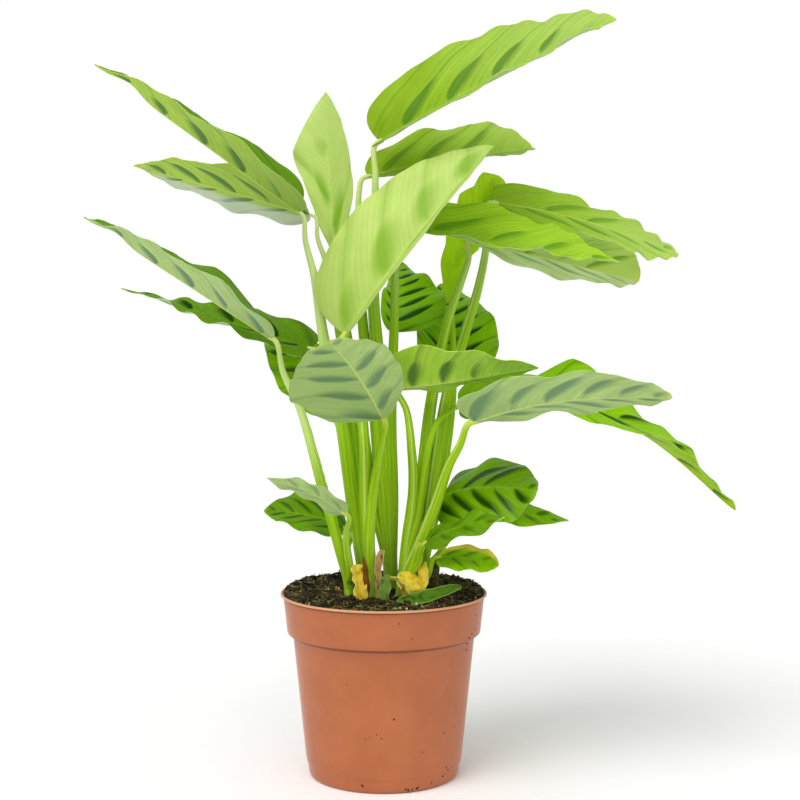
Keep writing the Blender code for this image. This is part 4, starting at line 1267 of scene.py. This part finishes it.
# each stalk: its shoot, its leaf, the points on its way down, and its radius at the blade and at the foot,
# all in millimetres; the last is the stump of a stalk that was cut off
STALKS = [
    ("shoot_left", "leaf_middle_left", [(-57, -16, 235), (-47, -17, 213), (-35, -17, 170), (-25, -14, 133)],
     1.2, 3.1),
    ("shoot_left", "leaf_low_left_curled", [(-21, -28, 144), (-19, -16, 119)], 1.1, 2.5),
    ("shoot_left", "leaf_low_left", [(-23, 0, 125)], 1.2, 2.4),
    ("shoot_back_left", "leaf_top_left",
     [(-45, -1, 310), (-40, -2, 290), (-34, -5, 252), (-25, -5, 212), (-18, 3, 160)], 1.0, 4.2),
    ("shoot_back_left", "leaf_upper_left",
     [(-39, 19, 312), (-34, 14, 298), (-25, 4, 252), (-20, 3, 212), (-15, 4, 159)], 0.9, 3.4),
    ("shoot_back_left", "leaf_narrow_left", [(-36, 14, 226), (-23, 8, 194), (-13, 6, 147)], 1.3, 3.0),
    ("shoot_back_left", "leaf_inner_left", [(-17, 22, 193), (-13, 14, 158)], 1.4, 3.2),
    ("shoot_front_left", "leaf_front_left", [(-1, -21, 195), (-5, -18, 172), (-8, -15, 139)], 1.5, 3.2),
    ("shoot_front_left", "leaf_large_centre", [(-15, -20, 230), (-11, -15, 196), (-10, -13, 156)], 1.8, 3.6),
    ("shoot_back_centre", "leaf_top_right",
     [(-5, 11, 350), (-5, 9, 332), (-6, 9, 276), (-1, 8, 218), (2, 8, 171)], 1.4, 4.2),
    ("shoot_back_centre", "leaf_second_right",
     [(-15, 26, 337), (-15, 20, 311), (-12, 12, 258), (-6, 10, 217), (-2, 8, 171)], 1.3, 3.8),
    ("shoot_back_centre", "leaf_upright_back", [(-23, 29, 264), (-14, 19, 210), (-6, 12, 158)], 1.4, 3.2),
    ("shoot_back_centre", "leaf_right_centre", [(6, 9, 305), (6, 10, 264), (4, 9, 206), (5, 8, 159)],
     1.5, 3.4),
    ("shoot_back_centre", "leaf_dark_centre", [(6, 24, 234), (4, 16, 199), (4, 10, 153)], 1.3, 3.0),
    ("shoot_front_right", "leaf_front_centre",
     [(13, -12, 213), (16, -10, 190), (17, -10, 167), (13, -10, 135)], 1.4, 3.2),
    ("shoot_front_right", "leaf_front_right",
     [(43, -33, 195), (37, -28, 183), (29, -21, 158), (20, -14, 134)], 1.5, 3.6),
    ("shoot_front_right", "leaf_drooping_right",
     [(38, 7, 211), (31, 1, 205), (26, -4, 192), (21, -8, 161)], 1.3, 3.0),
    ("shoot_front_right", "leaf_low_right_front", [(20, -22, 127)], 1.1, 2.5),
    ("shoot_front_right", "leaf_yellowing_right", [(24, -17, 117)], 1.0, 2.2),
    ("shoot_front_right", "cut_stalk", [(21, -22, 137), (17, -17, 124)], 3.1, 3.1),
    ("shoot_back_right", "leaf_right_under",
     [(50, 24, 301), (45, 22, 285), (37, 21, 261), (28, 16, 217), (23, 4, 177), (18, 2, 136)], 1.5, 3.8),
    ("shoot_back_right", "leaf_upper_right",
     [(61, 40, 306), (56, 36, 282), (48, 29, 256), (38, 20, 222), (30, 6, 177), (24, 3, 136)], 1.6, 3.8),
    ("shoot_back_right", "leaf_rolled_right", [(41, 26, 252), (40, 19, 217), (33, 11, 170)], 1.4, 3.2),
    ("shoot_back_right", "leaf_dark_right", [(35, 20, 199), (32, 12, 158)], 1.4, 3.0),
    ("shoot_back_right", "leaf_low_right", [(28, -2, 146), (24, 1, 125)], 1.2, 2.6),
    ("shoot_back_right", "leaf_low_right_back", [(34, 6, 130)], 1.1, 2.4),
]


def smooth_route(points, per_span):
    """Points along a curve through the given ones, spaced by the root of their distances."""
    ends = [2 * points[0] - points[1], *points, 2 * points[-1] - points[-2]]
    route = []
    for p0, p1, p2, p3 in zip(ends, ends[1:], ends[2:], ends[3:]):
        t1 = math.sqrt(np.linalg.norm(p1 - p0))
        t2 = t1 + math.sqrt(np.linalg.norm(p2 - p1))
        t3 = t2 + math.sqrt(np.linalg.norm(p3 - p2))
        for i in range(per_span):
            t = t1 + (t2 - t1) * i / per_span
            a1 = p0 + (p1 - p0) * t / t1
            a2 = p1 + (p2 - p1) * (t - t1) / (t2 - t1)
            a3 = p2 + (p3 - p2) * (t - t2) / (t3 - t2)
            b1 = a1 + (a2 - a1) * t / t2
            b2 = a2 + (a3 - a2) * (t - t1) / (t3 - t1)
            route.append(b1 + (b2 - b1) * (t - t1) / (t2 - t1))
    return np.array([*route, points[-1]])


print(len(STALKS), "stalks on", len(SHOOT_FEET), "shoots")

# %% [markdown]
# ## The stalks' skin
# A stalk is fresh yellow-green and finely ribbed, pale at its swollen joint and along the edge where the
# sheath overlaps, and paler where more light falls on it, high up and on the left. A picture wrapped round
# it would need unwrapping by hand. The map that each stalk gets has the way round it and the way down it,
# so sums of the two give the ribs and the joint.

# %% Stalk finish
# metres between which the light from the left and from above comes in
LEFT_LIGHT = (-0.016, -0.040)
UPPER_LIGHT = (0.25, 0.33)

cane = Finish("stalk_skin", 0.5, 0.1)
round_place, down = cane.map("stalk")
coordinates = cane.coordinates()
sideways = coordinates[0]
height = coordinates[2]
ribs = round_place.waves(16)
streak = cane.noise(cane.vector(round_place * 9.0, down * 2.0), 2.0, 2.0)
base = cane.blend(streak.rise(0.3, 0.7), paint(132, 180, 2), paint(170, 210, 34))
base = cane.blend(ribs ** 2.0 * 0.10, base, paint(186, 214, 60))
base = cane.blend(abs(round_place - 0.5).rise(0.46, 0.5) * 0.8, base, paint(206, 222, 130))
base = cane.blend(down.rise(0.09, 0.01) * 0.85, base, paint(208, 216, 92))
base = cane.blend(down.rise(0.72, 1.0) * 0.5, base, paint(142, 176, 60))
base = cane.blend(height.rise(*UPPER_LIGHT) * 0.55, base, paint(214, 230, 156))
base = cane.blend(sideways.rise(*LEFT_LIGHT) * down.rise(0.62, 0.2) * 0.6, base, paint(218, 232, 164))
cane.colour(base)
cane.bump(ribs * 0.15 + streak, 0.0002)
print("stalk finish:", len(cane.tree.nodes), "nodes")

# %% [markdown]
# ## Making the stalks
# The points on the way down come from the table. The route starts inside the foot of the blade, so that no
# gap shows there, and ends below the soil. A plain swept tube would look like wire: this one widens on the
# way down, swells at the joint, and has the ridges and the overlap of a sheath.

# %% Stalk shapes
RINGS, SIDES = 90, 28
# in millimetres: where a stalk is straight above its foot, and where it ends in the soil
CROWN_HEIGHT = 112
FOOT_HEIGHT = 90.5
# in metres: how far each stalk reaches into the foot of its blade, how far it runs straight on behind it,
# and how far from there the swollen joint is
INSIDE_BLADE = 0.0015
BEHIND_BLADE = 0.004
JOINT = 0.006
# shares of the radius: the joint's swelling, the sheath's overlap and the ridges, with the ridges' number
JOINT_SWELLING = 0.12
OVERLAP = 0.10
RIDGE = 0.022
RIDGES = 9


def make_stalk(shoot, leaf_name, through, top, foot, number):
    """A sphere's rings laid along the way from the blade down into the soil."""
    foot_x, foot_y = SHOOT_FEET[shoot]
    points = [np.array(point, float) * MM for point in through]
    if leaf_name in LEAVES:
        form = LEAVES[leaf_name]
        forward = unit(rib_frame(form, np.array([0.02]))[0][0] - form["base"])
        points = [form["base"] + forward * INSIDE_BLADE, form["base"] - forward * BEHIND_BLADE, *points]
    points += [np.array((foot_x, foot_y, height)) * MM for height in (CROWN_HEIGHT, FOOT_HEIGHT)]
    route = smooth_route(points, 24)
    gaps = np.linalg.norm(np.diff(route, axis=0), axis=1)
    run = np.concatenate([[0], np.cumsum(gaps)])

    nothing_selected()
    bpy.ops.mesh.primitive_uv_sphere_add(segments=SIDES, ring_count=RINGS, radius=1.0)
    stalk = bpy.context.object
    stalk.name = leaf_name.replace("leaf_", "stalk_")
    ball = points_of(stalk)
    share = (np.arccos(ball[:, 2].clip(-1, 1)) / math.pi).clip(0, 1)
    turn = np.arctan2(ball[:, 1], ball[:, 0])
    pole = np.hypot(ball[:, 0], ball[:, 1]) < 0.0001
    share = np.where(pole, np.round(share), ((share * RINGS - 1) / (RINGS - 2)).clip(0, 1))

    at_run = share * run[-1]

    def on_route(distance):
        """Where the route is at these distances from its start."""
        return np.stack([np.interp(distance, run, route[:, k]) for k in range(3)], 1)

    centre = on_route(at_run)
    ahead = on_route(np.minimum(at_run + 0.001, run[-1]))
    behind = on_route(np.maximum(at_run - 0.001, 0))
    along = unit(ahead - behind)
    sideways = unit(np.cross(along, np.array((0.0, 1.0, 0.05))))
    out = np.cross(sideways, along)

    widening = np.sin(math.pi / 2 * np.minimum(1, 1.5 * share))
    radius = (top + (foot - top) * widening) * MM
    joint = np.exp(-(((at_run - JOINT) / JOINT) ** 2)) * JOINT_SWELLING * (leaf_name in LEAVES)
    around = ((turn + number) / (2 * math.pi)) % 1.0
    overlap = OVERLAP * widening * around
    ridges = RIDGE * widening * np.sin(RIDGES * turn + number)
    radius = np.where(pole, 0.0, radius * (0.95 + joint + overlap + ridges))
    places = centre + sideways * (radius * np.cos(turn))[:, None]
    places = places + out * (radius * np.sin(turn))[:, None]
    move_points(stalk, places)

    corners = corner_points(stalk)
    turns = around[corners]
    for face in stalk.data.polygons:
        seen = turns[face.loop_start:face.loop_start + face.loop_total]
        if seen.max() - seen.min() > 0.5:
            seen[seen < 0.5] += 1.0
    write_maps(stalk, {"stalk": (turns, share[corners])})
    stalk.data.materials.append(cane.material)
    edit(stalk)
    bpy.ops.mesh.normals_make_consistent(inside=False)
    done()
    smooth(stalk)
    belongs(stalk, "stalk", shoot)


for number, (shoot, leaf_name, through, top, foot) in enumerate(STALKS):
    make_stalk(shoot, leaf_name, through, top, foot, number)
print("stalks:", len(STALKS))

# %% [markdown]
# ## Old leaves and sheaths at the foot
# Between the stalks and the soil lie the plant's cast-offs: three yellow dead leaves, strips of dry brown
# and tan sheath, and two limp green ones. A finish of their own for each would differ only in colour, so one
# papery finish is written, with blotches and lines along it, and given six sets of colours.

# %% Litter finishes


def papery(name, dark, light, edge):
    """A dry or limp bit of leaf: blotched, lined lengthwise and of another colour at its margin."""
    finish = Finish(name, 0.7, 0.2)
    along, across = finish.map("blade")
    blotch = finish.noise(finish.place(), 220.0, 4.0)
    lines = finish.noise(finish.vector(along * 2.0, across * 26.0), 3.0, 3.0)
    margin = abs(across * 2.0 - 1.0)
    base = finish.blend(blotch.rise(0.46, 0.72), light, dark)
    base = finish.blend(lines.rise(0.5, 0.75) * 0.4, base, darker(dark, 0.7))
    base = finish.blend((margin + blotch * 0.3).rise(0.95, 1.15) * 0.8, base, edge)
    finish.colour(base)
    finish.bump(lines + blotch, 0.0004)
    return finish.material


# name: (its blotches, the colour between them, its margin)
LITTER_COLOURS = {
    "dry_yellow": (paint(226, 176, 16), paint(255, 228, 74), paint(255, 236, 140)),
    "pale_yellow": (paint(222, 186, 40), paint(246, 230, 110), paint(196, 206, 90)),
    "dry_brown": (paint(70, 34, 10), paint(150, 86, 30), paint(104, 56, 20)),
    "dry_tan": (paint(84, 50, 20), paint(190, 156, 92), paint(226, 204, 150)),
    "limp_green": (paint(52, 84, 16), paint(116, 150, 56), paint(160, 180, 90)),
    "sheath_green": (paint(44, 84, 8), paint(96, 140, 26), paint(168, 196, 76)),
}
litter_finishes = {name: papery(name, *colours) for name, colours in LITTER_COLOURS.items()}
print("litter finishes:", len(litter_finishes))

# %% [markdown]
# ## Making the litter
# Dead leaves and sheaths keep no form of their own: they are torn, folded and lean on what is near. Tearing
# could be cut by hand, but uneven edges, given in a table as for the leaves, make each bit's own ragged
# outline. Each piece is then lowered or raised until it stands as deep in the soil as its solid does.

# %% Litter
# name: (finish, slot, form)
LITTER = {
    "old_leaf_yellow_left": ("dry_yellow", "old_leaf", dict(
        base=(-13.5, -24, 108), tip=(-16, -20, 127), width=9, arch=1, fold=(34, 26), wave=0.8, blunt=0.12,
        lobe=0, edges=((0.5, 1.3, 1.2, 0.8, 1.1, 1.0, 1.4, 1.0), (1.2, 1.3, 0.9, 1.1, 0.7, 0.9, 0.6, 1.6)))),
    "old_sheath_brown": ("dry_brown", "old_sheath", dict(
        base=(-9.5, -21, 108), tip=(-11.5, -19, 132), width=4, arch=1, fold=(20, 20), wave=0.2, blunt=0.3,
        lobe=0, edges=((1.0, 1.0, 1.3, 0.8, 1.0), (1.0, 1.2, 0.9, 1.1, 0.5)))),
    "old_sheath_tan": ("dry_tan", "old_sheath", dict(
        base=(-3, -22, 108), tip=(-1, -19, 135), width=6, arch=1, fold=(35, 35), wave=0.6, blunt=0.1, lobe=0,
        edges=((0.7, 0.4, 0.9, 0.3, 1.1, 0.9, 1.2, 0.7), (0.5, 0.6, 0.4, 0.9, 0.8, 1.1, 0.9, 1.3)))),
    "young_sheath_green": ("limp_green", "young_sheath", dict(
        base=(1, -28, 107), tip=(2, -25, 122), width=7, arch=1, fold=(40, 40), wave=0.6, blunt=0.3, lobe=0,
        edges=((0.6, 1.3, 0.9, 1.2, 0.7), (0.7, 1.0, 1.4, 0.8, 1.0)))),
    "old_leaf_yellow_curled": ("dry_yellow", "old_leaf", dict(
        base=(12, -22, 108), tip=(11, -20, 123), width=13, arch=3, fold=(30, 12), wave=1.2, blunt=0.25,
        lobe=0, edges=((0.2, 0.5, 0.8, 1.1, 1.1, 0.8), (0.5, 1.5, 1.9, 1.9, 1.8, 1.2)))),
    "old_leaf_yellow_right": ("dry_yellow", "old_leaf", dict(
        base=(22.5, -22, 108), tip=(24, -20, 129), width=7, arch=1, fold=(15, 15), wave=0.6, blunt=0.25,
        lobe=0, edges=((0.3, 0.4, 0.5, 1.1, 1.2, 0.5), (0.3, 0.5, 0.9, 1.1, 0.9, 0.3)))),
    "sheath_crescent_green": ("sheath_green", "young_sheath", dict(
        base=(8, -33, 108), tip=(44, -27, 115), width=11, roll=38, arch=-3.5, crest=0.42, fold=(38, 38),
        wave=0.4, blunt=0.3, widest=0.4, lobe=0,
        edges=((0.6, 1.0, 1.0, 0.9, 1.0), (0.8, 1.0, 0.9, 0.8, 1.0)))),
}
LITTER_SEED = 40
LITTER_RIPPLE = 0.3
LITTER_SLANT = 0.5


def litter_blade(name, sizes, finish, seed):
    """A small blade of the same finish on both faces."""
    faces = [litter_finishes[finish]] * 2
    return make_blade(name, leaf_form(**sizes), faces, seed, LITTER_RIPPLE, LITTER_SLANT)


for number, (name, (finish, slot, sizes)) in enumerate(LITTER.items()):
    plain = name.replace("_leaf", "_blade").replace("sheath", "wrap")
    piece = litter_blade(plain, sizes, finish, LITTER_SEED + number)
    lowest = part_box(name)[0][2]
    own = points_of(piece)
    own[:, 2] += lowest - own[:, 2].min()
    move_points(piece, own)
    belongs(piece, slot, name)
    if name == "old_leaf_yellow_curled":
        lap_sizes = dict(base=(4, -26, 119), tip=(15, -30, 110), width=7, roll=-10, arch=2, fold=(20, 25),
                         wave=0.6, blunt=0.4, lobe=0)
        lap = litter_blade("old_blade_pale_lobe", lap_sizes, "pale_yellow", LITTER_SEED + 10)
        belongs(lap, slot, name)
print("litter:", len(LITTER) + 1)

# %% [markdown]
# ## The old stub
# Behind the litter stands the foot of a dead stalk, dark, rotten and covered with moss. It could be turned
# like the pot, but rot leaves nothing round, so a cylinder is cut into many faces, then narrowed and bent
# at its top and roughened all over.

# %% Old stub
STUB_RADIUS = 0.0034
STUB_LENGTH = 0.053
STUB_PLACE = (0.028, -0.010, 0.076)

nothing_selected()
bpy.ops.mesh.primitive_cylinder_add(vertices=32, radius=STUB_RADIUS, depth=STUB_LENGTH, location=(0, 0, 0))
stub = bpy.context.object
stub.name = "stub_mossy"
edit(stub)
bpy.ops.mesh.subdivide(number_cuts=6)
done()
own = points_of(stub)
height = (own[:, 2] + STUB_LENGTH / 2) / STUB_LENGTH
taper = np.interp(height, (0, 0.83, 0.94, 1.0), (1, 1, 0.8, 0.45))
lean = np.interp(height, (0, 0.68, 0.83, 1.0), (0, 0, 0.0008, 0.0026))
rough = np.array([1 + 0.14 * noise.noise(Vector(p) / 0.0018) for p in own])
own[:, 0] = own[:, 0] * taper * rough + lean + STUB_PLACE[0]
own[:, 1] = own[:, 1] * taper * rough + STUB_PLACE[1]
own[:, 2] = own[:, 2] + STUB_LENGTH / 2 + STUB_PLACE[2]
move_points(stub, own)
moss = Finish("moss_dark", 0.95, 0.2)
spots = moss.noise(moss.place(), 600.0, 5.0)
moss.colour(moss.blend(spots.rise(0.35, 0.65), paint(38, 34, 22), paint(96, 98, 46)))
moss.bump(spots, 0.0006)
stub.data.materials.append(moss.material)
smooth(stub)
belongs(stub, "old_sheath", "old_stub_mossy")
print("stub:", len(stub.data.polygons), "faces")

# %% [markdown]
# ## Sizes
# The last cell prints the box of the solids and the box of the dressed plant, which have to agree. The
# plant could be measured by eye in a render, but two boxes in numbers show a slip of a tenth of a millimetre.

# %% Sizes
sizes = {"cad": [list(corner) for corner in CAD_BOX], "visual": [list(corner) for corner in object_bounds()]}
print("sizes", sizes)
